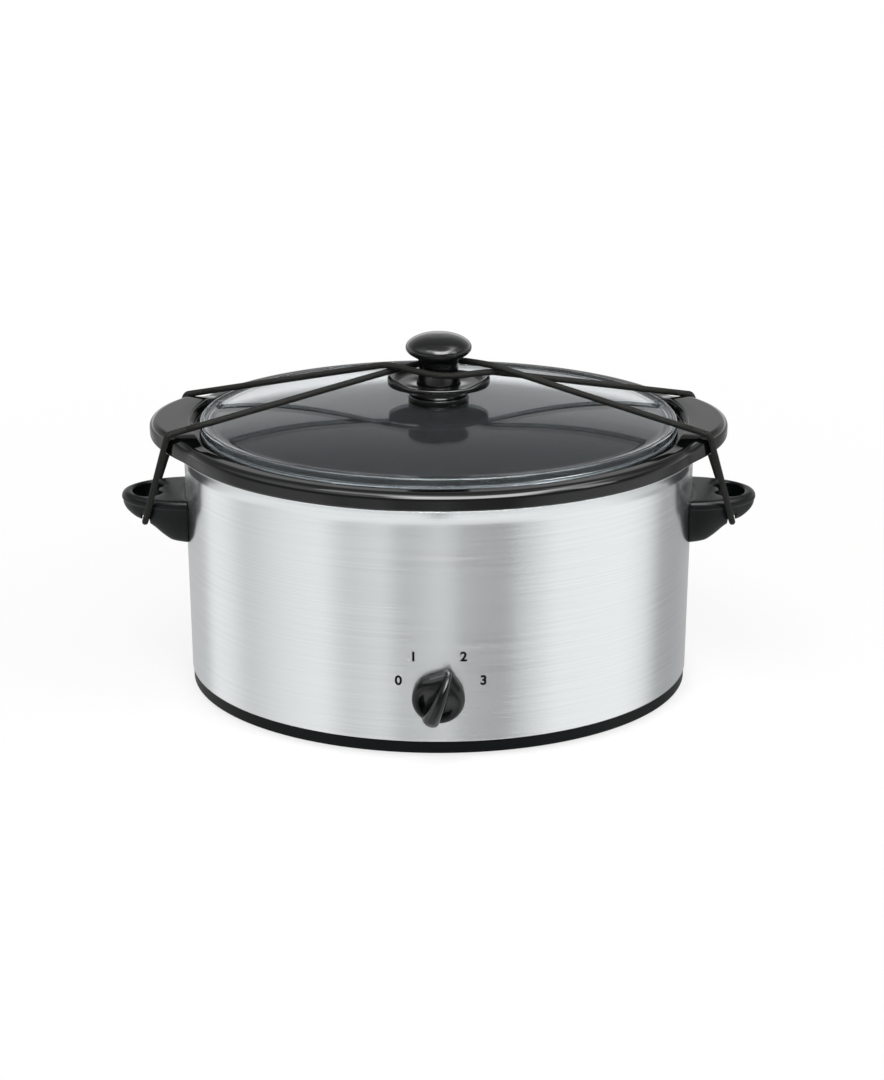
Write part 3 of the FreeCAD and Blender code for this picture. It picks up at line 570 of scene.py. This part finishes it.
# %% Strap collar
COLLAR_LENGTH = 32.0
COLLAR_DEPTH = 23.0
END_RISE = 2.6
angle = np.linspace(0, 2 * math.pi, 160, endpoint=False)
steps = np.array([
    (9.5, NECK_Z, 0.0), (6.0, NECK_Z, 0.0), (4.2, NECK_Z + 0.1, 0.05), (3.2, NECK_Z + 0.3, 0.35),
    (2.7, COLLAR_TOP - 0.3, 0.9), (2.3, COLLAR_TOP, 1.0), (1.2, COLLAR_TOP, 1.0),
    (0.5, COLLAR_TOP - 0.15, 1.0), (0.1, COLLAR_TOP - 0.6, 1.0), (0.0, COLLAR_TOP - 1.2, 0.8),
    (0.2, COLLAR_Z + 1.0, 0.1), (0.9, COLLAR_Z + 0.3, 0.0), (2.0, COLLAR_Z, 0.0), (6.0, COLLAR_Z, 0.0),
    (10.0, COLLAR_Z, 0.0),
])
inset, height, share = steps.T[:, :, None]
rise = END_RISE * smooth_step(np.abs(COLLAR_LENGTH * np.cos(angle)), 17.0, 31.0)
collar_rows = np.stack([
    (COLLAR_LENGTH - inset) * np.cos(angle), (COLLAR_DEPTH - inset) * np.sin(angle), height + share * rise,
], axis=-1)
hole = lathe_rows(np.array([(SCREW_HOLE, NECK_Z), (SCREW_HOLE, COLLAR_Z)]), angle.size)
collar = grid_object("strap_collar_skin", np.concatenate([hole[:1], collar_rows, hole[1:]]), ring=True)
stands_for(collar, knob_plastic, "lid", "strap_collar")

# %% [markdown]
# ## Handle outlines
# Each handle is a moulded block that grows out of the wall and ends in a ring for the fingers. From above
# there are three outlines: the hole with a small tongue for the strap, the rounded outside, and the wall. A
# ray from the middle of the hole meets each of them once, so the distance along the ray describes them all.

# %% Handle outlines
HOLE_X = 183.5
HOLE_LENGTH = 10.5
HOLE_WIDTH = 13.0
ROOT_X = 157.0
HANDLE_REACH = 44.0
HANDLE_WIDTH = 25.0
WALL_GAP = 0.1
TONGUE = 4.6
ray = np.linspace(0, 2 * math.pi, 320, endpoint=False)
ray_x = np.cos(ray)
ray_y = np.sin(ray)


def oval_meets(start, half_x, half_y, side):
    """Where a ray from a point on the x axis meets an oval: a quadratic's root, whose sign is side."""
    a = (ray_x / half_x) ** 2 + (ray_y / half_y) ** 2
    b = start * ray_x / half_x**2
    c = (start / half_x) ** 2 - 1
    inside = b**2 - a * c
    root = (-b + side * np.sqrt(np.clip(inside, 0, None))) / a
    return np.where((inside > 0) & (root > 0), root, 1000.0)


to_wall_side = np.abs(ray - math.pi)
tongue = TONGUE * (1 - smooth_step(to_wall_side, math.radians(20), math.radians(36)))
hole_reach = oval_meets(0.0, HOLE_LENGTH, HOLE_WIDTH, 1) - tongue
plan_reach = oval_meets(HOLE_X - ROOT_X, HANDLE_REACH, HANDLE_WIDTH, 1)
wall_meets = oval_meets(HOLE_X, HALF_LENGTH + WALL_GAP, HALF_DEPTH + WALL_GAP, -1)


def to_wall(reach):
    """The smaller of a distance and the distance to the wall, so that the handle ends flat against it."""
    return np.minimum(reach, wall_meets)


print(f"handle: ring {np.min(to_wall(plan_reach) - hole_reach):.1f} mm wide at its narrowest")

# %% [markdown]
# ## Handles
# The section through the ring is flat on top with soft edges, has a thin crease on the outside and swells
# below it like a boat's hull. Under the handle a smooth line rises from the deep root to the shallow ring,
# and a notch across it holds the strap. One closed section round the hole makes the whole handle, and its
# mirror image makes the other one.

# %% Handles
HANDLE_TOP = 126.3
HANDLE_LOW = 99.3
CREASE_Z = HANDLE_TOP - 5.4
NOTCH_X = 184.5
NOTCH_Z = 114.3
NOTCH_HALF = 2.0
NOTCH_END = 2.6
under_line = smooth_line(np.array([
    (-17.0, -2.4), (7.0, -0.8), (15.0, 2.2), (26.0, 10.6), (35.0, 13.4), (46.0, 18.0),
]) + [ROOT_X, HANDLE_LOW], 24)


def under_height(x):
    """Height of the underside: a smooth line along the handle, lifted to the notch's roof near the strap."""
    height = np.interp(x, under_line[:, 0], under_line[:, 1])
    lift = 1 - smooth_step(np.abs(x - NOTCH_X), NOTCH_HALF, NOTCH_END)
    return height + np.clip(NOTCH_Z - height, 0, None) * lift


HOLE_ROUND = 1.4
TOP_ROUND = 3.8
CREASE_IN = 0.6
HULL_IN = 2.4
HULL_TAPER = 4.2
fillet = np.radians(np.linspace(0, 90, 9))[:, None]
hull_top = plan_reach - CREASE_IN
deep = (CREASE_Z - under_height(HOLE_X + to_wall(hull_top) * ray_x)) / (CREASE_Z - HANDLE_LOW)
hull_in = np.minimum(HULL_IN + HULL_TAPER * deep, 0.55 * (hull_top - hole_reach))
hull_foot = to_wall(hull_top - hull_in)
hull_low = under_height(HOLE_X + hull_foot * ray_x)
hull_start = CREASE_Z - 0.4
inward = np.linspace(0, 1, 10)[1:, None]
under_reach = hull_foot + (hole_reach + 1.0 - hull_foot) * inward
flat = np.array([[0.25], [0.5], [0.75]])
top_start = hole_reach + HOLE_ROUND
every_ray = np.ones(ray.size)
handle_reach = np.concatenate([
    top_start - HOLE_ROUND * np.cos(fillet),
    top_start + (to_wall(plan_reach - TOP_ROUND) - top_start) * flat,
    to_wall(plan_reach - TOP_ROUND * (1 - np.sin(fillet))),
    to_wall(plan_reach - CREASE_IN * np.array([[0.0], [0.4], [0.8]])),
    to_wall(hull_top - hull_in * (1 - np.cos(fillet))),
    under_reach,
    hole_reach + np.array([[0.3], [0.0]]),
])
handle_height = np.concatenate([
    every_ray * (HANDLE_TOP - HOLE_ROUND * (1 - np.sin(fillet))),
    every_ray * HANDLE_TOP * np.ones((3, 1)),
    every_ray * (HANDLE_TOP - TOP_ROUND * (1 - np.cos(fillet))),
    every_ray * (CREASE_Z + np.array([[0.8], [0.3], [0.0]])),
    hull_start - (hull_start - hull_low) * np.sin(fillet),
    under_height(HOLE_X + under_reach * ray_x),
    under_height(HOLE_X + hole_reach * ray_x) + np.array([[0.3], [1.0]]),
])
right_handle = np.stack([HOLE_X + handle_reach * ray_x, handle_reach * ray_y, handle_height], axis=-1)
for name, side in (("handle_left", -1), ("handle_right", 1)):
    handle = grid_object(name + "_skin", right_handle * [side, 1, 1], ring=True)
    stands_for(handle, handle_plastic, "base", name)

# %% [markdown]
# ## Elastic strap
# The strap is a braided elastic cord. On each side it loops under the handle, comes up over the crock's ears
# and crosses itself round the knob's neck. Each stretch is a tube along a smooth curve through its route. The
# loops run between base and crock, the runs between crock and lid.

# %% Strap tools
STRAP = 4.0


def curve_points(points):
    """Points of a quadratic spline that has the route's points as its control points."""
    curve = bpy.data.curves.new("route", "CURVE")
    curve.dimensions = "3D"
    spline = curve.splines.new("NURBS")
    spline.points.add(len(points) - 1)
    places = np.concatenate([np.array(points, float) / 1000, np.ones((len(points), 1))], axis=1)
    spline.points.foreach_set("co", places.ravel())
    spline.order_u = 3
    spline.use_endpoint_u = True
    spline.resolution_u = 16
    holder = bpy.data.objects.new("route", curve)
    mesh = bpy.data.meshes.new_from_object(holder)
    line = numbers(mesh.vertices, "co", 3).astype(float) * 1000
    bpy.data.meshes.remove(mesh)
    bpy.data.objects.remove(holder)
    bpy.data.curves.remove(curve)
    return line


def strap_piece(name, node, route, upright):
    """A round cord: circles square to the line's direction, from two cross products that start at upright."""
    line = curve_points(route)
    way = np.gradient(line, axis=0)
    way = way / np.linalg.norm(way, axis=1)[:, None]
    across = np.cross(way, upright)
    across = across / np.linalg.norm(across, axis=1)[:, None]
    up = np.cross(way, across)
    angle = np.linspace(0, 2 * math.pi, 16, endpoint=False)[:, None]
    rings = line[:, None] + STRAP / 2 * (np.cos(angle) * across[:, None] + np.sin(angle) * up[:, None])
    made = grid_object(name, rings)
    made.data.materials.append(elastic)
    # Each ring shrinks to its centre while the object's transform is baked into its mesh, then the tube takes
    # its shape back.
    surface = numbers(made.data.vertices, "co", 3)
    centres = np.concatenate([np.repeat(line, angle.size, axis=0), line[[0, -1]]]) / 1000
    made.data.vertices.foreach_set("co", centres.ravel())
    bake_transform(made)
    made.data.vertices.foreach_set("co", surface.ravel())
    made.data.update()
    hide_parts(node)


def toward(start, end, distance):
    """The point at a distance from start on the straight way to end."""
    step = np.array(end, float) - np.array(start, float)
    return np.array(start, float) + step / np.linalg.norm(step) * distance


print("strap:", STRAP, "mm thick")

# %% [markdown]
# ## Strap route
# The loops and the runs meet on the ears, 12 mm from the bend, so that each ends where only one joint moves
# it. At the collar's ends one run passes above the other. The points near each corner keep the stretches
# between them straight, as a taut cord is.

# %% Strap route
CROSS_X = 31.0
CROSS_LOW = 204.3
CROSS_HIGH = 209.0
ROUND_NECK = 15.15
EAR_CLEAR = 2.75
EAR_WAY = (0.677, 0.736)
MEET = 12.0
HOOK_CLEAR = 2.7
HOOK_Z = 111.75
bend_reach = ear_radius + EAR_CLEAR
ear_bend = np.array([
    ear_centre + EAR_WAY[0] * bend_reach, EAR_WAY[1] * bend_reach, RIM_TOP + EAR_LIFT + 1.9,
])
back_bend_place = np.array([163.0, 45.5, RIM_TOP + 2.5])
notch_share = (NOTCH_X - ROOT_X) / HANDLE_REACH
hook = np.array([NOTCH_X, HANDLE_WIDTH * math.sqrt(1 - notch_share**2) + HOOK_CLEAR, HOOK_Z])


def side_points(side_x, side_y, cross_z):
    """Where the strap bends at the crock, where its pieces meet, and where it crosses the collar's end."""
    bend = (ear_bend if side_y < 0 else back_bend_place) * [side_x, side_y, 1]
    cross = np.array([side_x * CROSS_X, 0.0, cross_z])
    return bend, toward(bend, cross, MEET), cross


print("bends, mm:", np.round(ear_bend, 1).tolist(), np.round(back_bend_place, 1).tolist())

# %% [markdown]
# ## Strap loops
# Each loop goes from the front of an ear down to the handle's notch, under the handle and up to the back of
# the ear.

# %% Strap loops
for side_x, name in ((-1, "left"), (1, "right")):
    front_bend, front_start, _ = side_points(side_x, -1, CROSS_LOW if side_x < 0 else CROSS_HIGH)
    back_bend, back_start, _ = side_points(side_x, 1, CROSS_HIGH if side_x < 0 else CROSS_LOW)
    front_hook = hook * [side_x, -1, 1]
    back_hook = hook * [side_x, 1, 1]
    route = [
        front_start, toward(front_bend, front_start, 4.0), front_bend, toward(front_bend, front_hook, 6.0),
        toward(front_hook, front_bend, 6.0), front_hook, toward(front_hook, back_hook, 6.0),
        toward(back_hook, front_hook, 6.0), back_hook, toward(back_hook, back_bend, 6.0),
        toward(back_bend, back_hook, 6.0), back_bend, toward(back_bend, back_start, 4.0), back_start,
    ]
    strap_piece(
        "cord_" + name + "_loop", "strap_" + name + "_loop", route, (0.6 * side_x, 0.0, 0.8),
    )

# %% [markdown]
# ## Strap runs
# Each run goes from ear to ear and passes the knob on the far side of its neck, so that the two runs cross
# twice and hold the lid down.

# %% Strap runs
for side_y, name in ((-1, "front"), (1, "back")):
    left_z = CROSS_LOW if side_y < 0 else CROSS_HIGH
    right_z = CROSS_HIGH if side_y < 0 else CROSS_LOW
    _, left_start, left = side_points(-1, side_y, left_z)
    _, right_start, right = side_points(1, side_y, right_z)
    middle_z = (left_z + right_z) / 2
    round_y = -side_y * ROUND_NECK
    lean = (right_z - left_z) * 0.2
    route = [
        left_start, toward(left, left_start, 12.0), left, (-8.0, round_y, middle_z - lean),
        (8.0, round_y, middle_z + lean), right, toward(right, right_start, 12.0), right_start,
    ]
    strap_piece(
        "cord_" + name + "_run", "strap_" + name + "_run", route, (0.0, 0.0, 1.0),
    )

# %% [markdown]
# ## Heat knob
# The heat knob is a glossy disc drawn out to a point that shows the setting. A grip fin rises from the point
# to the far edge, with a thumb hollow on each side. It could be sculpted. As a height over rays and rings it
# stays one smooth skin, and the fin's width and crest are plain formulas that can be set against a picture.

# %% Heat knob outline
DIAL_Z = 40.0
DIAL_BACK = 125.0
DIAL_RADIUS = 16.0
DIAL_TIP = 20.2
DIAL_DEPTH = 16.5
TIP_ROUND = 3.0
POINTER = math.radians(20.0)
spoke = np.linspace(0, 2 * math.pi, 360, endpoint=False)
off_tip = np.abs(np.mod(spoke + math.pi, 2 * math.pi) - math.pi)
meet = math.acos(DIAL_RADIUS / DIAL_TIP)
half_corner = math.pi / 2 - meet
tip_centre = DIAL_TIP - TIP_ROUND / math.sin(half_corner)
tip_leg = TIP_ROUND / math.tan(half_corner)
tip_turn = math.atan2(tip_leg * math.sin(half_corner), DIAL_TIP - tip_leg * math.cos(half_corner))
straight = DIAL_RADIUS / np.cos(np.clip(meet - off_tip, 0, None))
tip_reach = np.sqrt(np.clip(TIP_ROUND**2 - (tip_centre * np.sin(spoke)) ** 2, 0, None))
blunt = tip_centre * np.cos(spoke) + tip_reach
dial_edge = np.where(off_tip < tip_turn, blunt, np.where(off_tip < meet, straight, DIAL_RADIUS))
print(f"heat knob: {2 * DIAL_RADIUS:.0f} mm across, point {dial_edge.max():.1f} mm from its axis")

# %% [markdown]
# ## Heat knob surface
# The front is a height above the wall for each point of the disc, worked out from how far the point lies
# along the pointer and across it. Shoulder, hollows, fin and rounded edge are one term each, so that each can
# be changed without the others.

# %% Heat knob
SHOULDER = 5.6
SWELL = 2.2
HOLLOW = 3.0
CREST = -2.0
TIP_RUN = 24.2
TIP_FALL = 11.5
FAR_RUN = 16.0
FAR_FALL = 5.6
FIN_FROM = 20.0
FIN_LENGTH = 36.0
FIN_THIN = 1.3
FIN_SWELL = 4.2
EDGE_FROM = 0.66
EDGE_FALL = 3.6
BACK = 0.6


def fin_height(along):
    """Height of the fin's crest: its depth less a parabola to the point and a steeper one to the far edge."""
    to_point = TIP_FALL * ((along - CREST) / TIP_RUN) ** 2
    to_far_edge = FAR_FALL * ((along - CREST) / FAR_RUN) ** 2
    return DIAL_DEPTH - np.where(along > CREST, to_point, to_far_edge)


def dial_height(along, across, share):
    """Height of the front: a shoulder that swells to the point, less hollows, with the fin's arch over it."""
    shoulder = SHOULDER + SWELL * (1 - share**2) * smooth_step(along, -6.0, 8.0)
    hollow = HOLLOW * smooth_step(-along, -11.0, 8.0) * (1 - smooth_step(share, 0.5, 0.95))
    ground = shoulder - hollow
    fin_share = np.clip((FIN_FROM - along) / FIN_LENGTH, 0, 1)
    half_width = FIN_THIN + FIN_SWELL * np.sin(0.62 * math.pi * fin_share)
    bulge = np.clip(1 - np.abs(across / half_width) ** 2.2, 0, 1) ** 0.5
    edge_round = np.clip((share - EDGE_FROM) / (1 - EDGE_FROM), 0, 1)
    rounding = EDGE_FALL * (1 - np.sqrt(np.clip(1 - edge_round**2, 0, 1)))
    return ground + (fin_height(along) - ground) * bulge - rounding


def dial_rows(reach, height):
    """Rings of the knob, turned by the pointer's angle and laid against the front wall."""
    along = reach * np.cos(spoke)
    across = reach * np.sin(spoke)
    x = along * math.sin(POINTER) + across * math.cos(POINTER)
    z = along * math.cos(POINTER) - across * math.sin(POINTER)
    return np.stack(np.broadcast_arrays(x, -DIAL_BACK - height, DIAL_Z + z), axis=-1)


share = np.clip(1 - np.linspace(0, 1, 84) ** 1.25, 0.01, None)[:, None]
front_reach = dial_edge * share
front = dial_height(front_reach * np.cos(spoke), front_reach * np.sin(spoke), share)
side = BACK + 0.3 + (front[0] - BACK - 0.3) * np.array([[0.0], [0.3], [0.6], [0.85]])
back_reach = np.stack([dial_edge * 0.25, dial_edge - 1.0])
dial = grid_object("heat_knob", np.concatenate([
    dial_rows(back_reach, np.array([[BACK], [BACK]])),
    dial_rows(np.broadcast_to(dial_edge, side.shape), side),
    dial_rows(front_reach, front),
]))
stands_for(dial, dial_plastic, "dial", "dial_knob")

# %% [markdown]
# ## Setting numbers
# Four plain numbers stand round the heat knob, printed on the wall. A texture could hold them, but real
# letter shapes stay sharp from near by. Each number is a text made into a mesh, then laid on the oval, with
# the depth of each point worked out from how far it is to the side.

# %% Setting numbers
INK_LIFT = 0.06
DIGIT_SIZE = 8.5
DIGIT_BOLD = 0.28
for digit, across_mm, up_mm in (("0", -24.0, 50.0), ("1", -15.0, 66.0), ("2", 15.0, 66.0), ("3", 27.0, 50.0)):
    words = bpy.data.curves.new("number " + digit, "FONT")
    words.body = digit
    words.size = DIGIT_SIZE / 1000
    words.offset = DIGIT_BOLD / 1000
    words.align_x = "CENTER"
    words.align_y = "CENTER"
    holder = bpy.data.objects.new("number", words)
    printed = bpy.data.meshes.new_from_object(holder)
    flat = numbers(printed.vertices, "co", 3) * 1000
    faces = [list(p.vertices) for p in printed.polygons]
    bpy.data.objects.remove(holder)
    x = flat[:, 0] + across_mm
    y = -(HALF_DEPTH + INK_LIFT) * np.sqrt(1 - (x / (HALF_LENGTH + INK_LIFT)) ** 2)
    number = mesh_object("setting_number_" + digit, np.stack([x, y, flat[:, 1] + up_mm], axis=-1), faces)
    number.data.materials.append(ink)
    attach(number, "base")

# %% [markdown]
# ## Floor
# The cooker stands on white paper. Far from it the camera sees plain white, at a strength of 1. Near the base
# a quarter of what it sees is real paper in the light, so that the soft shadow stays. Rays through the glass
# see the same. Mirror rays pass the floor by and see the studio's boards, which come next.

# %% Floor
SELF_WHITE = 0.75
SHADOW_TO = 0.25
WHITE_FROM = 0.7
WIDE = 9000


def looked_at(tree):
    """1 for rays from the camera or through glass and 0 for others: the larger of two light path values."""
    path = add(tree, "ShaderNodeLightPath")
    rays = {0: path.outputs["Is Camera Ray"], 1: path.outputs["Is Transmission Ray"]}
    return add(tree, "ShaderNodeMath", rays, operation="MAXIMUM").outputs["Value"]


corners = [(-WIDE, -WIDE, 0), (WIDE, -WIDE, 0), (WIDE, WIDE, 0), (-WIDE, WIDE, 0)]
floor = mesh_object("studio_floor", corners, [[0, 1, 2, 3]])
floor.data.materials.append(paper)
floor.visible_glossy = False
tree = paper.node_tree
place = add(tree, "ShaderNodeTexCoord")
away = add(tree, "ShaderNodeVectorMath", {0: place.outputs["Object"]}, operation="LENGTH")
own_white = add(tree, "ShaderNodeMapRange", {
    "Value": away.outputs["Value"], "From Min": SHADOW_TO, "From Max": WHITE_FROM,
    "To Min": SELF_WHITE, "To Max": 1.0,
})
both = {0: looked_at(tree), 1: own_white.outputs["Result"]}
amount = add(tree, "ShaderNodeMath", both, operation="MULTIPLY")
white = add(tree, "ShaderNodeEmission", {"Color": WHITE, "Strength": 1.0})
lit = tree.nodes["Principled BSDF"].outputs["BSDF"]
mix = add(tree, "ShaderNodeMixShader", {0: amount.outputs["Value"], 1: lit, 2: white.outputs["Emission"]})
tree.links.new(mix.outputs["Shader"], tree.nodes["Material Output"].inputs["Surface"])

# %% [markdown]
# ## What the metal mirrors
# Polished and brushed parts show the room, so the room has to be designed. A photographer would stand white
# boards and dark gaps round the cooker. Here mirror rays see a ring of such boards by their heading: pale
# ones to both sides and a greyer stretch in front. Behind is a backdrop that is brightest near the table, and
# overhead in front, a little to the right, one bright softbox.

# %% What the metal mirrors


def set_ramp(ramp, stops):
    """Puts grey levels on a ramp, given as (place, level) in rising order."""
    ramp.elements[0].position = stops[0][0]
    ramp.elements[1].position = stops[-1][0]
    for place, _ in stops[1:-1]:
        ramp.elements.new(place)
    for element, (_, level) in zip(ramp.elements, stops):
        element.color = (level, level, level, 1.0)


world = bpy.data.worlds.new("white studio")
bpy.context.scene.world = world
world.use_nodes = True
tree = world.node_tree
tree.nodes.clear()
place = add(tree, "ShaderNodeTexCoord")
parts = add(tree, "ShaderNodeSeparateXYZ", {"Vector": place.outputs["Generated"]})
to_front = add(tree, "ShaderNodeMath", {0: parts.outputs["Y"], 1: -1.0}, operation="MULTIPLY")
sides = {0: parts.outputs["X"], 1: to_front.outputs["Value"]}
heading = add(tree, "ShaderNodeMath", sides, operation="ARCTAN2")
whole_turn = {"Value": heading.outputs["Value"], "From Min": -math.pi, "From Max": math.pi}
turned = add(tree, "ShaderNodeMapRange", whole_turn)
boards = add(tree, "ShaderNodeValToRGB", {"Fac": turned.outputs["Result"]})
board_levels = [
    (-180, 0.55), (-124, 0.62), (-112, 1.02), (-96, 0.92), (-84, 0.7), (-62, 0.92), (-44, 1.02),
    (-34, 0.7), (-20, 0.84), (-13, 0.52), (-6, 0.58), (2, 0.72), (8, 0.45), (24, 0.36), (31, 0.66),
    (44, 1.02), (80, 1.08), (94, 0.95), (108, 0.45), (122, 0.42), (180, 0.55),
]
set_ramp(boards.color_ramp, [((degrees + 180) / 360, level) for degrees, level in board_levels])
print("boards round the cooker:", len(board_levels), "stops of heading")

# %% [markdown]
# ## Backdrop and softbox in the mirror
# Above the boards, mirror rays that go back meet the backdrop, and those that come forward meet the ceiling
# with its softbox. The softbox is bright but small, so it draws thin lines along rounded edges and little
# else. Straight down they meet the white table.

# %% Backdrop and softbox in the mirror
SOFTBOX_GLOW = 14.0
CEILING = 0.3
backdrop = add(tree, "ShaderNodeValToRGB", {"Fac": parts.outputs["Z"]})
set_ramp(backdrop.color_ramp, [
    (0.0, 2.2), (0.14, 1.8), (0.22, 0.8), (0.38, 0.72), (0.5, 0.42), (0.66, 0.32), (1.0, 0.32),
])
overhead = add(tree, "ShaderNodeValToRGB", {"Fac": parts.outputs["Z"]})
set_ramp(overhead.color_ramp, [(0.0, 0.0), (0.5, 0.0), (0.58, 1.0), (0.88, 1.0), (0.95, 0.05), (1.0, 0.05)])
left_right = add(tree, "ShaderNodeMapRange", {"Value": parts.outputs["X"], "From Min": -1.0, "From Max": 1.0})
window = add(tree, "ShaderNodeValToRGB", {"Fac": left_right.outputs["Result"]})
set_ramp(window.color_ramp, [(0.0, 0.1), (0.36, 0.1), (0.44, 1.0), (0.7, 1.0), (0.78, 0.1), (1.0, 0.1)])
lamp_shape = {0: overhead.outputs["Color"], 1: window.outputs["Color"]}
in_softbox = add(tree, "ShaderNodeMath", lamp_shape, operation="MULTIPLY")
softbox_level = add(tree, "ShaderNodeMapRange", {
    "Value": in_softbox.outputs["Value"], "To Min": CEILING, "To Max": SOFTBOX_GLOW,
})
behind = add(tree, "ShaderNodeMapRange", {"Value": parts.outputs["Y"], "From Min": -0.2, "From Max": 0.4})
room = add(tree, "ShaderNodeMixRGB", {
    "Fac": behind.outputs["Result"], "Color1": softbox_level.outputs["Result"],
    "Color2": backdrop.outputs["Color"],
})
horizon = add(tree, "ShaderNodeMapRange", {"Value": parts.outputs["Z"], "From Min": -0.05, "From Max": 0.15})
seen = add(tree, "ShaderNodeMixRGB", {
    "Fac": horizon.outputs["Result"], "Color1": boards.outputs["Color"], "Color2": room.outputs["Color"],
})
straight_down = add(tree, "ShaderNodeMapRange", {
    "Value": parts.outputs["Z"], "From Min": -0.85, "From Max": -0.6, "To Min": 1.0, "To Max": 0.0,
})
mirrored = add(tree, "ShaderNodeMixRGB", {
    "Fac": straight_down.outputs["Result"], "Color1": seen.outputs["Color"], "Color2": WHITE,
})
print("mirror rays see boards, backdrop, softbox and the white table")

# %% [markdown]
# ## World light
# All other rays see plain white. The camera and the glass see it at a strength of 1, which is white in the
# picture. As light it is a little lower, so that with the two lamps a colour comes out about as written.

# %% World light
SURROUND_LIGHT = 0.8
path = add(tree, "ShaderNodeLightPath")
strength = add(tree, "ShaderNodeMapRange", {"Value": looked_at(tree), "To Min": SURROUND_LIGHT})
plain = add(tree, "ShaderNodeBackground", {"Color": WHITE, "Strength": strength.outputs["Result"]})
mirror = add(tree, "ShaderNodeBackground", {"Color": mirrored.outputs["Color"], "Strength": 1.0})
mix = add(tree, "ShaderNodeMixShader", {
    0: path.outputs["Is Glossy Ray"], 1: plain.outputs["Background"], 2: mirror.outputs["Background"],
})
add(tree, "ShaderNodeOutputWorld", {"Surface": mix.outputs["Shader"]})
print("surround as light:", SURROUND_LIGHT)

# %% [markdown]
# ## Softboxes
# Two weak softboxes give the shadow a direction and put soft highlights on the knobs. They face the middle of
# the cooker: the lamp's own axis is turned to the line from it to that point.

# %% Softboxes


def softbox(name, place, aim, width, height, power):
    """A rectangular lamp turned by the slope and the heading of the line from its place to its aim."""
    lamp = bpy.data.lights.new(name, "AREA")
    lamp.shape = "RECTANGLE"
    lamp.size = width
    lamp.size_y = height
    lamp.energy = power
    made = bpy.data.objects.new(name, lamp)
    made.location = place
    way = np.array(aim, float) - np.array(place, float)
    slope = math.acos(-way[2] / np.linalg.norm(way))
    made.rotation_euler = (slope, 0, math.atan2(way[1], way[0]) - math.pi / 2)
    bpy.context.scene.collection.objects.link(made)
    print(f"{name}: {power} W, {np.linalg.norm(way):.2f} m away")


MIDDLE = (0, 0, 0.15)
softbox("overhead_softbox", (-0.3, -0.5, 1.5), MIDDLE, 0.9, 0.6, 6.0)
softbox("side_softbox", (1.1, -0.6, 1.1), MIDDLE, 0.4, 0.8, 4.0)

# %% [markdown]
# ## Camera
# The view is from the front, looking down on the lid by 22 degrees from about one and a half metres away,
# with a long lens. The values come from the outlines of the rim, the lid and the base in the picture.

# %% Camera
TILT = math.radians(22.02)
AWAY = 1.482
AIM_X = 0.0021
AIM_Z = 0.0912
LENS_PIXELS = 2315
TALL_PIXELS = 1080
camera_data = bpy.data.cameras.new("camera")
camera_data.sensor_width = 36
camera_data.lens = 36 * LENS_PIXELS / TALL_PIXELS
camera = bpy.data.objects.new("camera", camera_data)
camera.location = (AIM_X, -AWAY * math.cos(TILT), AIM_Z + AWAY * math.sin(TILT))
camera.rotation_euler = (math.pi / 2 - TILT, 0, 0)
bpy.context.scene.collection.objects.link(camera)
bpy.context.scene.camera = camera
bpy.context.scene.view_settings.view_transform = "Standard"
print(f"lens {camera_data.lens:.1f} mm")
